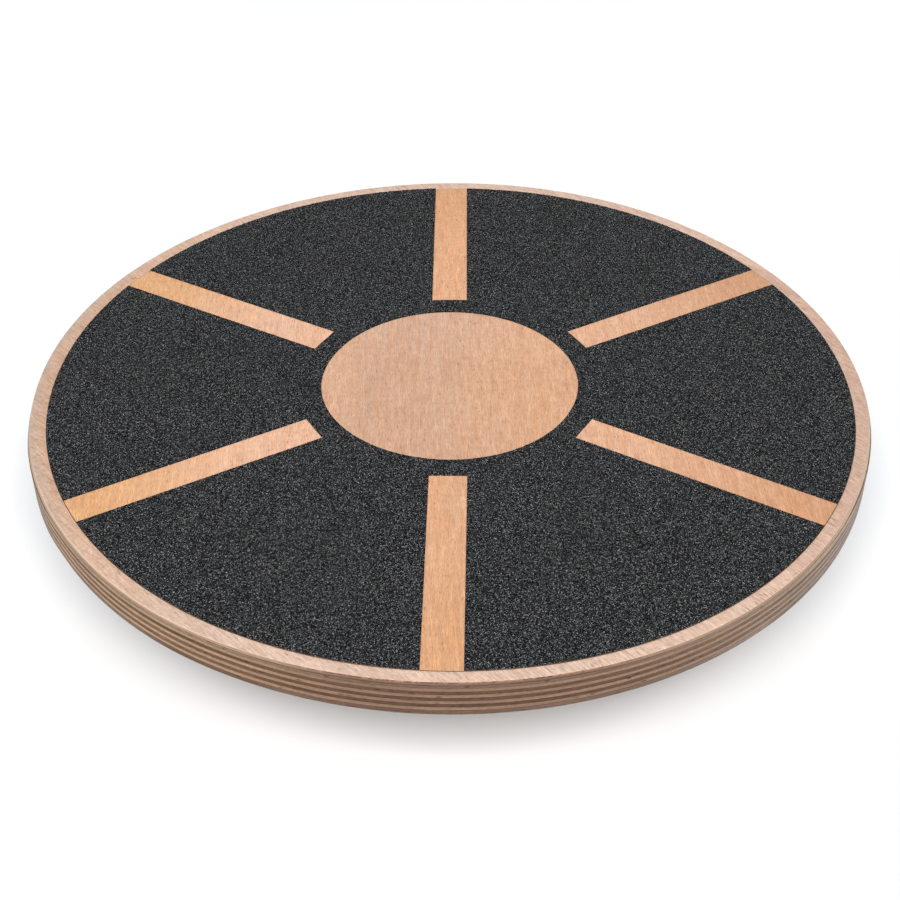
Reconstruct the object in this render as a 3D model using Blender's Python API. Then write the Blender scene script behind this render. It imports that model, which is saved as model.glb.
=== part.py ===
"""Round plywood wobble board: a laminated deck with a grit grip sheet, on a screwed-on plastic dome with a rubber pad.

Metres, +Z up. The origin is the lowest point, under the middle of the dome. -Y is the front.
"""

import math

import bmesh
import bpy
from mathutils import Matrix, Vector

MM = 0.001

# ---- driving dimensions, in millimetres ----
DECK_RADIUS = 197.5
DECK_THICKNESS = 17.5
DECK_BOTTOM_Z = 60.0
DECK_SEGMENTS = 120
TOP_ROUNDOVER = 0.7
BOTTOM_ROUNDOVER = 1.4
GLUE_GAP = 0.1

FACE_PLY = 0.9
GREY_PLY = 1.4
CORE_PLY = 1.72
CORE_PLIES = 7
LOWEST_CORE_PLY = 2.1
BOTTOM_FACE_PLY = DECK_THICKNESS - FACE_PLY - GREY_PLY - CORE_PLY * CORE_PLIES - LOWEST_CORE_PLY

DISC_RADIUS = 190.3
DISC_JOINT = 0.25
GRIP_THICKNESS = 0.6
CENTRE_WINDOW_RADIUS = 61.0
BAR_WINDOWS = (  # azimuth in degrees, shift to the left of its axis, width, start
    (29.9, -0.3, 17.0, 72.2),
    (89.4, 1.4, 17.8, 72.1),
    (150.05, 0.7, 17.7, 72.2),
    (210.1, 0.1, 16.5, 73.3),
    (268.8, 0.0, 17.1, 71.5),
    (329.0, -0.25, 16.7, 71.5),
)

BALL_RADIUS = 110.0
FLOOR_FLAT_RADIUS = 13.0
BALL_CENTRE_Z = math.sqrt(BALL_RADIUS**2 - FLOOR_FLAT_RADIUS**2)
PAD_RADIUS = 37.0
PAD_INNER_BALL = 107.6
PAD_SEGMENTS = 48
PAD_GROOVES = (18.5, 25.0, 31.5)
GROOVE_WIDTH = 1.3
GROOVE_DEPTH = 0.9

SHELL_BALL = 109.5
SHELL_RECESS_BALL = 107.45
SHELL_RECESS_RADIUS = 37.3
SHELL_INNER_BALL = 106.5
SHELL_INNER_RECESS_BALL = 104.4
SHELL_SEGMENTS = 72
SHELL_TOP_Z = DECK_BOTTOM_Z - GLUE_GAP
FLANGE_RADIUS = 114.0
FLANGE_BOTTOM_Z = 56.0
RIB_COUNT = 12
RIB_THICKNESS = 2.2
RIB_INNER_BALL = 98.5
BOSS_RADIUS = 13.0
BOSS_BORE_RADIUS = 10.5
BOSS_TOP_Z = 15.0
WALL_MIDDLE_BALL = 107.0

SCREW_COUNT = 6
SCREW_CIRCLE_RADIUS = 105.6
SCREW_HEAD_RADIUS = 4.0
SCREW_SHANK_RADIUS = 2.0
SCREW_ROOT_RADIUS = 1.45
SCREW_LENGTH = 15.5
SCREW_HEAD_Z = FLANGE_BOTTOM_Z + 0.15
SCREW_SEGMENTS = 10
PILOT_RADIUS = 2.3
PILOT_TOP_Z = DECK_BOTTOM_Z + 12.3


def clear_scene():
    for obj in list(bpy.data.objects):
        bpy.data.objects.remove(obj, do_unlink=True)


def material(name, colour, roughness, metallic=0.0):
    mat = bpy.data.materials.new(name)
    mat.use_nodes = True
    bsdf = mat.node_tree.nodes["Principled BSDF"]
    bsdf.inputs["Base Color"].default_value = (*colour, 1.0)
    bsdf.inputs["Roughness"].default_value = roughness
    bsdf.inputs["Metallic"].default_value = metallic
    mat.diffuse_color = (*colour, 1.0)
    return mat


def object_from(bm, name, mat, sharp=35.0):
    """A mesh object from bm, shaded smooth with sharp edges kept."""
    bmesh.ops.recalc_face_normals(bm, faces=bm.faces)
    mesh = bpy.data.meshes.new(name)
    bm.to_mesh(mesh)
    bm.free()
    mesh.shade_smooth()
    mesh.set_sharp_from_angle(angle=math.radians(sharp))
    obj = bpy.data.objects.new(name, mesh)
    bpy.context.scene.collection.objects.link(obj)
    if mat is not None:
        obj.data.materials.append(mat)
    return obj


def revolve(profile, segments, closed):
    """Spins a profile of (radius, height) points in millimetres once round the Z axis."""
    bm = bmesh.new()
    verts = [bm.verts.new((r * MM, 0.0, z * MM)) for r, z in profile]
    pairs = list(zip(verts, verts[1:]))
    if closed:
        pairs.append((verts[-1], verts[0]))
    edges = [bm.edges.new(pair) for pair in pairs]
    bmesh.ops.spin(
        bm,
        geom=verts + edges,
        axis=(0.0, 0.0, 1.0),
        cent=(0.0, 0.0, 0.0),
        steps=segments,
        angle=math.tau,
        use_merge=True,
    )
    bmesh.ops.remove_doubles(bm, verts=bm.verts, dist=2e-6)
    return bm


def ball_height(ball, radius):
    """Height of the lower half of a ball about the dome's centre, at this distance from the axis."""
    return BALL_CENTRE_Z - math.sqrt(ball**2 - radius**2)


def ball_arc(ball, start_radius, end_radius, steps):
    """(radius, height) points on such a ball, evenly spaced by angle, both ends included."""
    a0, a1 = math.asin(start_radius / ball), math.asin(end_radius / ball)
    points = []
    for i in range(steps + 1):
        a = a0 + (a1 - a0) * i / steps
        points.append((ball * math.sin(a), BALL_CENTRE_Z - ball * math.cos(a)))
    return points


def deck_radius(height):
    """Outer radius of the deck at a height above its underside, with both edges rounded over."""
    top = DECK_THICKNESS - height
    if top < TOP_ROUNDOVER:
        d = TOP_ROUNDOVER - top
        return DECK_RADIUS - TOP_ROUNDOVER + math.sqrt(max(TOP_ROUNDOVER**2 - d**2, 0.0))
    if height < BOTTOM_ROUNDOVER:
        d = BOTTOM_ROUNDOVER - height
        return DECK_RADIUS - BOTTOM_ROUNDOVER + math.sqrt(max(BOTTOM_ROUNDOVER**2 - d**2, 0.0))
    return DECK_RADIUS


def deck_side(low, high):
    """The deck's outer profile between two heights above its underside, from low to high."""
    heights = {low, high}
    for k in range(3):
        share = 1.0 - math.cos(math.radians(40.0 * k + 5.0))
        heights.add(BOTTOM_ROUNDOVER * share)
        heights.add(DECK_THICKNESS - TOP_ROUNDOVER * share)
    inside = sorted(h for h in heights if low - 1e-9 <= h <= high + 1e-9)
    kept = [inside[0]]
    for h in inside[1:-1]:
        if h - kept[-1] > 0.04 and high - h > 0.04:
            kept.append(h)
    kept.append(high)
    return [(deck_radius(h), DECK_BOTTOM_Z + h) for h in kept]


def ply_disc(name, low, high, mat):
    """One ply as a full disc with the deck's outer profile."""
    side = deck_side(low, high)
    profile = [(0.0, side[0][1])] + side + [(0.0, side[-1][1])]
    bm = revolve(profile, DECK_SEGMENTS, closed=False)
    dissolve_flats(bm)
    return object_from(bm, name, mat)


def dissolve_flats(bm):
    """Joins the fan of triangles on each flat end into one face."""
    flats = [f for f in bm.faces if abs(f.normal.z) > 0.99999]
    if flats:
        inner = {e for f in flats for e in f.edges if all(g in flats for g in e.link_faces)}
        bmesh.ops.dissolve_edges(bm, edges=list(inner), use_verts=False, use_face_split=False)
    lone = [v for v in bm.verts if not v.link_faces]
    if lone:
        bmesh.ops.delete(bm, geom=lone, context="VERTS")


def ring_positions(count, radius, start_degrees):
    """Evenly spaced places round the axis: (azimuth, x, y), in radians and millimetres."""
    places = []
    for k in range(count):
        a = math.radians(start_degrees) + math.tau * k / count
        places.append((a, radius * math.cos(a), radius * math.sin(a)))
    return places


def add_cylinder(bm, x, y, low, high, radius_low, radius_high, segments):
    """Adds a closed cylinder or cone frustum standing on Z, in millimetres."""
    bmesh.ops.create_cone(
        bm,
        cap_ends=True,
        cap_tris=False,
        segments=segments,
        radius1=radius_low * MM,
        radius2=radius_high * MM,
        depth=(high - low) * MM,
        matrix=Matrix.Translation((x * MM, y * MM, (low + high) / 2.0 * MM)),
    )


def add_box(bm, matrix, size):
    """Adds a closed box of this size in millimetres under a matrix."""
    scale = Matrix.Diagonal((size[0] * MM, size[1] * MM, size[2] * MM, 1.0))
    bmesh.ops.create_cube(bm, size=1.0, matrix=matrix @ scale)


def helper(bm, name):
    """A cutter or a core: it shapes others and isn't a piece."""
    obj = object_from(bm, name, None)
    obj.hide_render = True
    obj.display_type = "WIRE"
    return obj


def boolean(obj, other, operation):
    mod = obj.modifiers.new(f"{operation.lower()}_{other.name}", "BOOLEAN")
    mod.operation = operation
    mod.solver = "EXACT"
    mod.object = other
    return mod


def build_deck(mats):
    """The plies from the bottom up, then the veneer ring and the disc inside it."""
    pilot = bmesh.new()
    for _, x, y in ring_positions(SCREW_COUNT, SCREW_CIRCLE_RADIUS, 30.0):
        add_cylinder(pilot, x, y, DECK_BOTTOM_Z - 5.0, PILOT_TOP_Z + 3.0, PILOT_RADIUS, PILOT_RADIUS, 8)
    pilot_cutter = helper(pilot, "pilot_hole_cutter")

    layup = [("bottom_face_veneer", BOTTOM_FACE_PLY, mats["face"])]
    layup.append(("core_ply_9", LOWEST_CORE_PLY, mats["light"]))
    for k in range(CORE_PLIES):
        number = 8 - k
        tone = mats["light"] if number % 2 == 0 else mats["dark"]
        layup.append((f"core_ply_{number}", CORE_PLY, tone))
    layup.append(("core_ply_1", GREY_PLY, mats["grey"]))

    low = 0.0
    for name, thickness, mat in layup:
        high = low + thickness
        ply = ply_disc(name, low + (GLUE_GAP if low else 0.0), high, mat)
        if low + DECK_BOTTOM_Z < PILOT_TOP_Z:
            boolean(ply, pilot_cutter, "DIFFERENCE")
        low = high

    side = deck_side(low + GLUE_GAP, DECK_THICKNESS)
    inner = DISC_RADIUS + DISC_JOINT
    profile = side + [(inner, side[-1][1]), (inner, side[0][1])]
    object_from(revolve(profile, DECK_SEGMENTS, closed=True), "rim_face_veneer", mats["face"])

    base = DECK_BOTTOM_Z + low + GLUE_GAP
    top = DECK_BOTTOM_Z + DECK_THICKNESS
    bm = revolve([(0.0, base), (DISC_RADIUS, base), (DISC_RADIUS, top), (0.0, top)], DECK_SEGMENTS, closed=False)
    dissolve_flats(bm)
    object_from(bm, "pattern_veneer_disc", mats["inlay"])


def build_grip(mats):
    """The grit sheet: one disc with a round window and six bar windows that run out through its rim."""
    base = DECK_BOTTOM_Z + DECK_THICKNESS + GLUE_GAP
    top = base + GRIP_THICKNESS
    profile = [
        (CENTRE_WINDOW_RADIUS, base),
        (DISC_RADIUS, base),
        (DISC_RADIUS, top - 0.15),
        (DISC_RADIUS - 0.15, top),
        (CENTRE_WINDOW_RADIUS + 0.15, top),
        (CENTRE_WINDOW_RADIUS, top - 0.15),
    ]
    sheet = object_from(revolve(profile, DECK_SEGMENTS, closed=True), "grip_sheet", mats["grit"])
    cutter = bmesh.new()
    for azimuth, shift, width, start in BAR_WINDOWS:
        length = DISC_RADIUS + 20.0 - start
        turn = Matrix.Rotation(math.radians(azimuth), 4, "Z")
        place = turn @ Matrix.Translation(((start + length / 2.0) * MM, shift * MM, (base + top) / 2.0 * MM))
        add_box(cutter, place, (length, width, 6.0))
    boolean(sheet, helper(cutter, "bar_window_cutter"), "DIFFERENCE")


def build_dome(mats):
    """Shell with flange, twelve low ribs and a centre boss, then countersunk holes."""
    profile = ball_arc(SHELL_RECESS_BALL, 0.0, SHELL_RECESS_RADIUS, 3)
    shoulder = SHELL_RECESS_RADIUS + 0.5
    profile.append((SHELL_RECESS_RADIUS, ball_height(SHELL_BALL, shoulder) + 0.35))
    outer_end = math.sqrt(SHELL_BALL**2 - (BALL_CENTRE_Z - FLANGE_BOTTOM_Z + 2.0) ** 2)
    profile += ball_arc(SHELL_BALL, shoulder, outer_end, 9)
    profile.append((outer_end + 2.0, FLANGE_BOTTOM_Z - 0.55))
    profile.append((outer_end + 3.6, FLANGE_BOTTOM_Z))
    profile.append((FLANGE_RADIUS - 0.8, FLANGE_BOTTOM_Z))
    profile.append((FLANGE_RADIUS - 0.2, FLANGE_BOTTOM_Z + 0.25))
    profile.append((FLANGE_RADIUS, FLANGE_BOTTOM_Z + 0.8))
    profile.append((FLANGE_RADIUS, SHELL_TOP_Z))
    inner_end = math.sqrt(SHELL_INNER_BALL**2 - (BALL_CENTRE_Z - SHELL_TOP_Z) ** 2)
    inner = ball_arc(SHELL_INNER_BALL, inner_end, 41.5, 4) + ball_arc(SHELL_INNER_RECESS_BALL, 38.5, 0.0, 2)
    profile += inner
    shell = object_from(revolve(profile, SHELL_SEGMENTS, closed=False), "dome_shell", mats["plastic"])

    rib_start = BOSS_RADIUS - 1.2
    outer_side = math.sqrt(WALL_MIDDLE_BALL**2 - (BALL_CENTRE_Z - SHELL_TOP_Z) ** 2)
    inner_side = math.sqrt(RIB_INNER_BALL**2 - (BALL_CENTRE_Z - SHELL_TOP_Z) ** 2)
    layer_profile = ball_arc(WALL_MIDDLE_BALL, rib_start, outer_side, 9) + ball_arc(RIB_INNER_BALL, inner_side, rib_start, 9)
    layer = helper(revolve(layer_profile, SHELL_SEGMENTS, closed=True), "rib_layer")

    ribs = bmesh.new()
    length = 110.0 - (rib_start - 2.0)
    for k in range(RIB_COUNT):
        turn = Matrix.Rotation(math.tau * (k + 0.5) / RIB_COUNT, 4, "Z")
        middle = rib_start - 2.0 + length / 2.0
        place = turn @ Matrix.Translation((middle * MM, 0.0, 35.0 * MM))
        add_box(ribs, place, (length, RIB_THICKNESS, 70.0))
    rib_set = helper(ribs, "rib_set")
    boolean(rib_set, layer, "INTERSECT")

    boss_low = ball_height(WALL_MIDDLE_BALL, BOSS_RADIUS) + 1.2
    boss = revolve(
        [
            (BOSS_BORE_RADIUS, boss_low),
            (BOSS_RADIUS, boss_low),
            (BOSS_RADIUS, BOSS_TOP_Z),
            (BOSS_BORE_RADIUS, BOSS_TOP_Z),
        ],
        24,
        closed=True,
    )
    boss_tube = helper(boss, "boss_tube")
    boolean(shell, rib_set, "UNION")
    boolean(shell, boss_tube, "UNION")

    holes = bmesh.new()
    for _, x, y in ring_positions(SCREW_COUNT, SCREW_CIRCLE_RADIUS, 30.0):
        sink = revolve(
            [
                (0.0, FLANGE_BOTTOM_Z - 3.0),
                (SCREW_HEAD_RADIUS + 0.35, FLANGE_BOTTOM_Z - 3.0),
                (SCREW_HEAD_RADIUS + 0.35, FLANGE_BOTTOM_Z + 0.25),
                (PILOT_RADIUS, FLANGE_BOTTOM_Z + 2.3),
                (PILOT_RADIUS, SHELL_TOP_Z + 3.0),
                (0.0, SHELL_TOP_Z + 3.0),
            ],
            16,
            closed=False,
        )
        bmesh.ops.translate(sink, verts=sink.verts, vec=(x * MM, y * MM, 0.0))
        part = bpy.data.meshes.new("countersink")
        bmesh.ops.recalc_face_normals(sink, faces=sink.faces)
        sink.to_mesh(part)
        sink.free()
        holes.from_mesh(part)
        bpy.data.meshes.remove(part)
    boolean(shell, helper(holes, "screw_hole_cutter"), "DIFFERENCE")


def build_pad(mats):
    """The rubber pad: a spherical cap with a flat for the floor and ring grooves."""
    half = GROOVE_WIDTH / 2.0
    profile = [(0.0, 0.0), (FLOOR_FLAT_RADIUS, 0.0)]
    for groove in PAD_GROOVES:
        low, high = groove - half, groove + half
        profile.append((low, ball_height(BALL_RADIUS, low)))
        profile.append((low + 0.15, ball_height(BALL_RADIUS, low) + GROOVE_DEPTH))
        profile.append((high - 0.15, ball_height(BALL_RADIUS, high) + GROOVE_DEPTH))
        profile.append((high, ball_height(BALL_RADIUS, high)))
    edge = PAD_RADIUS - 0.7
    profile.append((edge, ball_height(BALL_RADIUS, edge)))
    profile.append((PAD_RADIUS, ball_height(BALL_RADIUS, PAD_RADIUS) + 0.6))
    profile += ball_arc(PAD_INNER_BALL, PAD_RADIUS, 0.0, 4)
    bm = revolve(profile, PAD_SEGMENTS, closed=False)
    flats = [f for f in bm.faces if f.normal.z < -0.99999 and f.calc_center_median().z < 1e-6]
    inner = {e for f in flats for e in f.edges if all(g in flats for g in e.link_faces)}
    bmesh.ops.dissolve_edges(bm, edges=list(inner), use_verts=False)
    lone = [v for v in bm.verts if not v.link_faces]
    if lone:
        bmesh.ops.delete(bm, geom=lone, context="VERTS")
    object_from(bm, "dome_pad", mats["rubber"], sharp=30.0)


def screw_mesh():
    """One wood screw with its head face at z = 0 and its point up, in millimetres."""
    profile = [
        (0.0, 0.0),
        (SCREW_HEAD_RADIUS - 0.15, 0.0),
        (SCREW_HEAD_RADIUS, 0.25),
        (SCREW_SHANK_RADIUS - 0.15, 2.25),
        (SCREW_SHANK_RADIUS - 0.15, 4.2),
    ]
    pitch = 1.9
    z = 4.6
    while z + pitch < SCREW_LENGTH - 2.6:
        profile.append((SCREW_ROOT_RADIUS, z))
        profile.append((SCREW_SHANK_RADIUS, z + pitch * 0.5))
        z += pitch
    profile.append((SCREW_ROOT_RADIUS, z))
    profile.append((0.7, SCREW_LENGTH - 1.0))
    profile.append((0.0, SCREW_LENGTH))
    return revolve(profile, SCREW_SEGMENTS, closed=False)


def cross_recess(bm, x, y, turn):
    """Adds a tapered plus-shaped cutter under one screw head."""
    wide, arm, deep = 0.62, 2.15, 1.7
    outline = []
    for k in range(4):
        a = math.pi / 2.0 * k
        for u, v in ((arm, -wide), (arm, wide), (wide, wide)):
            outline.append((u * math.cos(a) - v * math.sin(a), u * math.sin(a) + v * math.cos(a)))
    spin = Matrix.Translation((x * MM, y * MM, 0.0)) @ Matrix.Rotation(turn, 4, "Z")
    layers = []
    for z, size in ((SCREW_HEAD_Z - 1.0, 1.0), (SCREW_HEAD_Z + 0.2, 1.0), (SCREW_HEAD_Z + deep, 0.45)):
        layers.append([bm.verts.new(spin @ Vector((u * size * MM, v * size * MM, z * MM))) for u, v in outline])
    bm.faces.new(layers[0])
    bm.faces.new(layers[-1])
    count = len(outline)
    for below, above in zip(layers, layers[1:]):
        for i in range(count):
            j = (i + 1) % count
            bm.faces.new((below[i], below[j], above[j], above[i]))


def build_screws(mats):
    """Six screws that share one mesh, each with its own cross recess."""
    recesses = bmesh.new()
    places = ring_positions(SCREW_COUNT, SCREW_CIRCLE_RADIUS, 30.0)
    for k, (_, x, y) in enumerate(places):
        cross_recess(recesses, x, y, math.radians(17.0 + 41.0 * k))
    cutter = helper(recesses, "cross_recess_cutter")
    first = None
    for k, (_, x, y) in enumerate(places):
        name = f"dome_screw_{k + 1}"
        if first is None:
            first = object_from(screw_mesh(), name, mats["steel"], sharp=40.0)
            screw = first
        else:
            screw = bpy.data.objects.new(name, first.data)
            bpy.context.scene.collection.objects.link(screw)
        screw.location = (x * MM, y * MM, SCREW_HEAD_Z * MM)
        boolean(screw, cutter, "DIFFERENCE")


def main():
    clear_scene()
    mats = {
        "face": material("face_veneer", (0.72, 0.49, 0.36), 0.55),
        "grey": material("grey_ply", (0.21, 0.14, 0.10), 0.7),
        "light": material("light_ply", (0.33, 0.22, 0.16), 0.7),
        "dark": material("dark_ply", (0.13, 0.07, 0.045), 0.75),
        "inlay": material("inlay_veneer", (0.70, 0.40, 0.22), 0.5),
        "grit": material("black_grit", (0.028, 0.030, 0.032), 0.85),
        "plastic": material("dome_plastic", (0.018, 0.018, 0.020), 0.45),
        "rubber": material("pad_rubber", (0.030, 0.030, 0.031), 0.8),
        "steel": material("screw_steel", (0.55, 0.55, 0.56), 0.35, 1.0),
    }
    root = bpy.data.objects.new("wobble_board", None)
    bpy.context.scene.collection.objects.link(root)
    build_deck(mats)
    build_grip(mats)
    build_dome(mats)
    build_pad(mats)
    build_screws(mats)
    for obj in bpy.data.objects:
        if obj is not root and obj.parent is None:
            obj.parent = root


main()
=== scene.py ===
"""The looks of the wobble board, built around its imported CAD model.

The plies, the rim, the veneer disc, the grit and the glue lines are modelled here as fine meshes.
The dome, its pad and the screws keep their CAD solids and get a finish.
Lengths in the code are in millimetres unless a name says otherwise; the mesh is scaled to metres at the end.
"""
import math

import bpy
import numpy as np
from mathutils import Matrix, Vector
from mathutils.geometry import delaunay_2d_cdt


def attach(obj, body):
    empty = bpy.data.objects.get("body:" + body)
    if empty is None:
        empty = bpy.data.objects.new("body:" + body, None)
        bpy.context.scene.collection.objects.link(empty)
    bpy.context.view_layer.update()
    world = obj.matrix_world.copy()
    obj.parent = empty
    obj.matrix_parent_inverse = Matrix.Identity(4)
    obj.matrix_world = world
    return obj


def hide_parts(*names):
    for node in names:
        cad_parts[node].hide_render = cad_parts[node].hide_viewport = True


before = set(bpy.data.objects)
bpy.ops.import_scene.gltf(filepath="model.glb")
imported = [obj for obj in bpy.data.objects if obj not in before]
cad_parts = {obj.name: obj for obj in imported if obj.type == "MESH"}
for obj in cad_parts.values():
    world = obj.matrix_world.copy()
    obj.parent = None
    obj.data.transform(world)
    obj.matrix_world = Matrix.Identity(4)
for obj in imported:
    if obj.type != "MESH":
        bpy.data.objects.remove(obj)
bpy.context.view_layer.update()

TAU = 2.0 * math.pi
ROOT = "root"

# ------------------------------------------------------------------ sizes of the board
DECK_RADIUS = 197.5
DECK_BOTTOM = 60.0
TOP_ROUND = 0.7
FRONT_ROUND = 0.5  # how much rounder the arris has been sanded at the front and the right
MORE_ROUND = 0.5  # and more than that in the middle of the front
BOTTOM_ROUND = 1.4
THICKNESS = 17.5
DISC_RADIUS = 190.3
RIM_INNER = 190.55
WINDOW_RADIUS = 61.0
BAR_WINDOWS = (  # azimuth in degrees, shift to the left of its axis, width, start
    (29.9, -0.3, 17.0, 72.2),
    (89.4, 1.4, 17.8, 72.1),
    (150.05, 0.7, 17.7, 72.2),
    (210.1, 0.1, 16.5, 73.3),
    (268.8, 0.0, 17.1, 71.5),
    (329.0, -0.25, 16.7, 71.5),
)
BAR_START = 72.2
# how the outlines stray from a circle: times round, size in mm, azimuth of the first crest times that number
OUTER_STRAY = ((0, 0.19, 0), (1, 0.21, 158), (2, 0.15, 85), (3, 0.52, -141), (4, 0.17, -83), (5, 0.1, 71))
GRIT_STRAY = ((1, 0.15, 0), (2, 0.24, 175), (3, 0.60, -124), (5, 0.08, 61))
WINDOW_STRAY = ((1, 0.62, 158), (2, 0.50, 18), (3, 0.12, -111), (4, 0.10, 63))
FACE_TOP = DECK_BOTTOM + THICKNESS
GRIT_BOTTOM = 77.6
GRIT_FILM = 77.77
GRIT_TOP = 78.2
PILOT_CIRCLE = 105.6
PILOT_RADIUS = 2.3
PILOT_AZIMUTHS = tuple(30.0 + 60.0 * k for k in range(6))

# name, lowest and highest edge above the deck's underside, tone of its edge
CORE = (
    ("core_ply_9", 1.16, 3.16, "under"),
    ("core_ply_8", 3.26, 4.88, "light"),
    ("core_ply_7", 4.98, 6.60, "darkest"),
    ("core_ply_6", 6.70, 8.32, "light"),
    ("core_ply_5", 8.42, 10.04, "darkest"),
    ("core_ply_4", 10.14, 11.76, "light"),
    ("core_ply_3", 11.86, 13.48, "dark"),
    ("core_ply_2", 13.58, 15.20, "light"),
    ("core_ply_1", 15.30, 16.60, "grey"),
)
BOTTOM_VENEER = (0.0, 1.06)
RIM_VENEER = (16.70, 17.5)
WALL_COLUMNS = 2400


def stray(terms, angles):
    """How far an outline lies outside its circle at these angles."""
    return sum(size * np.cos(k * angles - math.radians(phase)) for k, size, phase in terms)


LIT = 1.45  # light on the level top, which the wood's colours are seen under


def srgb(r, g, b):
    """A colour given as 0 to 255 screen values, as linear light."""
    out = []
    for v in (r, g, b):
        v /= 255.0
        out.append(v / 12.92 if v <= 0.04045 else ((v + 0.055) / 1.055) ** 2.4)
    return tuple(out)


def seen(r, g, b, light=None):
    """The colour of a surface that looks like this in that light."""
    return tuple(v / (light or LIT) for v in srgb(r, g, b))


# ------------------------------------------------------------------ materials
class Finish:
    """A node material under construction. Its coordinates are in millimetres in the board's own frame."""

    def __init__(self, name, roughness=0.5, specular=0.5, metallic=0.0):
        self.material = bpy.data.materials.new(name)
        self.material.use_nodes = True
        self.tree = self.material.node_tree
        self.tree.nodes.clear()
        self.shader = self.add("ShaderNodeBsdfPrincipled")
        output = self.add("ShaderNodeOutputMaterial")
        self.tree.links.new(self.shader.outputs[0], output.inputs[0])
        self.shader.inputs["Roughness"].default_value = roughness
        self.shader.inputs["Specular IOR Level"].default_value = specular
        self.shader.inputs["Metallic"].default_value = metallic
        place = self.add("ShaderNodeTexCoord")
        self.mm = self.vector("SCALE", place.outputs["Object"], scale=1000.0)
        parts = self.add("ShaderNodeSeparateXYZ")
        self.feed(parts.inputs[0], self.mm)
        self.x, self.y, self.z = parts.outputs[0], parts.outputs[1], parts.outputs[2]

    def add(self, kind, **settings):
        node = self.tree.nodes.new(kind)
        for key, value in settings.items():
            setattr(node, key, value)
        return node

    def feed(self, socket, value):
        if isinstance(value, bpy.types.NodeSocket):
            self.tree.links.new(value, socket)
        elif isinstance(value, (tuple, list)) and len(value) == 3 and len(socket.default_value) == 4:
            socket.default_value = (*value, 1.0)
        else:
            socket.default_value = value

    def vector(self, operation, a, b=None, scale=None):
        node = self.add("ShaderNodeVectorMath", operation=operation)
        self.feed(node.inputs[0], a)
        if b is not None:
            self.feed(node.inputs[1], b)
        if scale is not None:
            self.feed(node.inputs["Scale"], scale)
        return node.outputs["Value"] if operation in ("LENGTH", "DOT_PRODUCT") else node.outputs["Vector"]

    def math(self, operation, a, b=None, clamp=False):
        node = self.add("ShaderNodeMath", operation=operation, use_clamp=clamp)
        self.feed(node.inputs[0], a)
        if b is not None:
            self.feed(node.inputs[1], b)
        return node.outputs[0]

    def turned(self, vector, degrees):
        """The vector in axes whose first one lies at that azimuth."""
        node = self.add("ShaderNodeVectorRotate", rotation_type="Z_AXIS")
        self.feed(node.inputs["Vector"], vector)
        node.inputs["Angle"].default_value = math.radians(-degrees)
        return node.outputs[0]

    def sized(self, vector, along, across, up=None):
        """The vector counted in cells of this size."""
        up = across if up is None else up
        return self.vector("MULTIPLY", vector, (1.0 / along, 1.0 / across, 1.0 / up))

    def moved(self, vector, offset):
        return self.vector("ADD", vector, offset)

    def noise(self, vector, detail=2.0, roughness=0.5, distortion=0.0, colour=False):
        node = self.add("ShaderNodeTexNoise", noise_dimensions="3D")
        self.feed(node.inputs["Vector"], vector)
        node.inputs["Scale"].default_value = 1.0
        node.inputs["Detail"].default_value = detail
        node.inputs["Roughness"].default_value = roughness
        node.inputs["Distortion"].default_value = distortion
        return node.outputs["Color"] if colour else node.outputs[0]

    def cells(self, vector, feature="F1", randomness=1.0):
        node = self.add("ShaderNodeTexVoronoi", voronoi_dimensions="3D", feature=feature)
        self.feed(node.inputs["Vector"], vector)
        node.inputs["Scale"].default_value = 1.0
        node.inputs["Randomness"].default_value = randomness
        return node.outputs["Distance"], node.outputs["Color"]

    def flat_cells(self, vector, randomness=1.0):
        """Cells in the plane of the vector's first two axes only."""
        node = self.add("ShaderNodeTexVoronoi", voronoi_dimensions="2D", feature="F1")
        self.feed(node.inputs["Vector"], vector)
        node.inputs["Scale"].default_value = 1.0
        node.inputs["Randomness"].default_value = randomness
        return node.outputs["Distance"], node.outputs["Color"]

    def parts(self, colour):
        node = self.add("ShaderNodeSeparateColor")
        self.feed(node.inputs[0], colour)
        return node.outputs[0], node.outputs[1], node.outputs[2]

    def remap(self, value, low, high, to_low=0.0, to_high=1.0, smooth=True):
        node = self.add("ShaderNodeMapRange", clamp=True, interpolation_type="SMOOTHSTEP" if smooth else "LINEAR")
        self.feed(node.inputs["Value"], value)
        self.feed(node.inputs["From Min"], low)
        self.feed(node.inputs["From Max"], high)
        self.feed(node.inputs["To Min"], to_low)
        self.feed(node.inputs["To Max"], to_high)
        return node.outputs["Result"]

    def mix(self, factor, a, b, blend="MIX"):
        node = self.add("ShaderNodeMix", data_type="RGBA", blend_type=blend)
        self.feed(node.inputs[0], factor)
        self.feed(node.inputs[6], a)
        self.feed(node.inputs[7], b)
        return node.outputs[2]

    def mix_value(self, factor, a, b):
        node = self.add("ShaderNodeMix", data_type="FLOAT")
        self.feed(node.inputs[0], factor)
        self.feed(node.inputs[2], a)
        self.feed(node.inputs[3], b)
        return node.outputs[0]

    def times(self, colour, value):
        """A colour made lighter or darker by a value."""
        return self.vector("SCALE", colour, scale=value)

    def bump(self, height, depth_mm, strength=1.0, normal=None):
        node = self.add("ShaderNodeBump")
        node.inputs["Strength"].default_value = strength
        node.inputs["Distance"].default_value = depth_mm / 1000.0
        self.feed(node.inputs["Height"], height)
        if normal is not None:
            self.feed(node.inputs["Normal"], normal)
        return node.outputs[0]

    def finish(self, colour=None, roughness=None, normal=None):
        if colour is not None:
            self.feed(self.shader.inputs["Base Color"], colour)
        if roughness is not None:
            self.feed(self.shader.inputs["Roughness"], roughness)
        if normal is not None:
            self.feed(self.shader.inputs["Normal"], normal)
        return self.material


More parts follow.
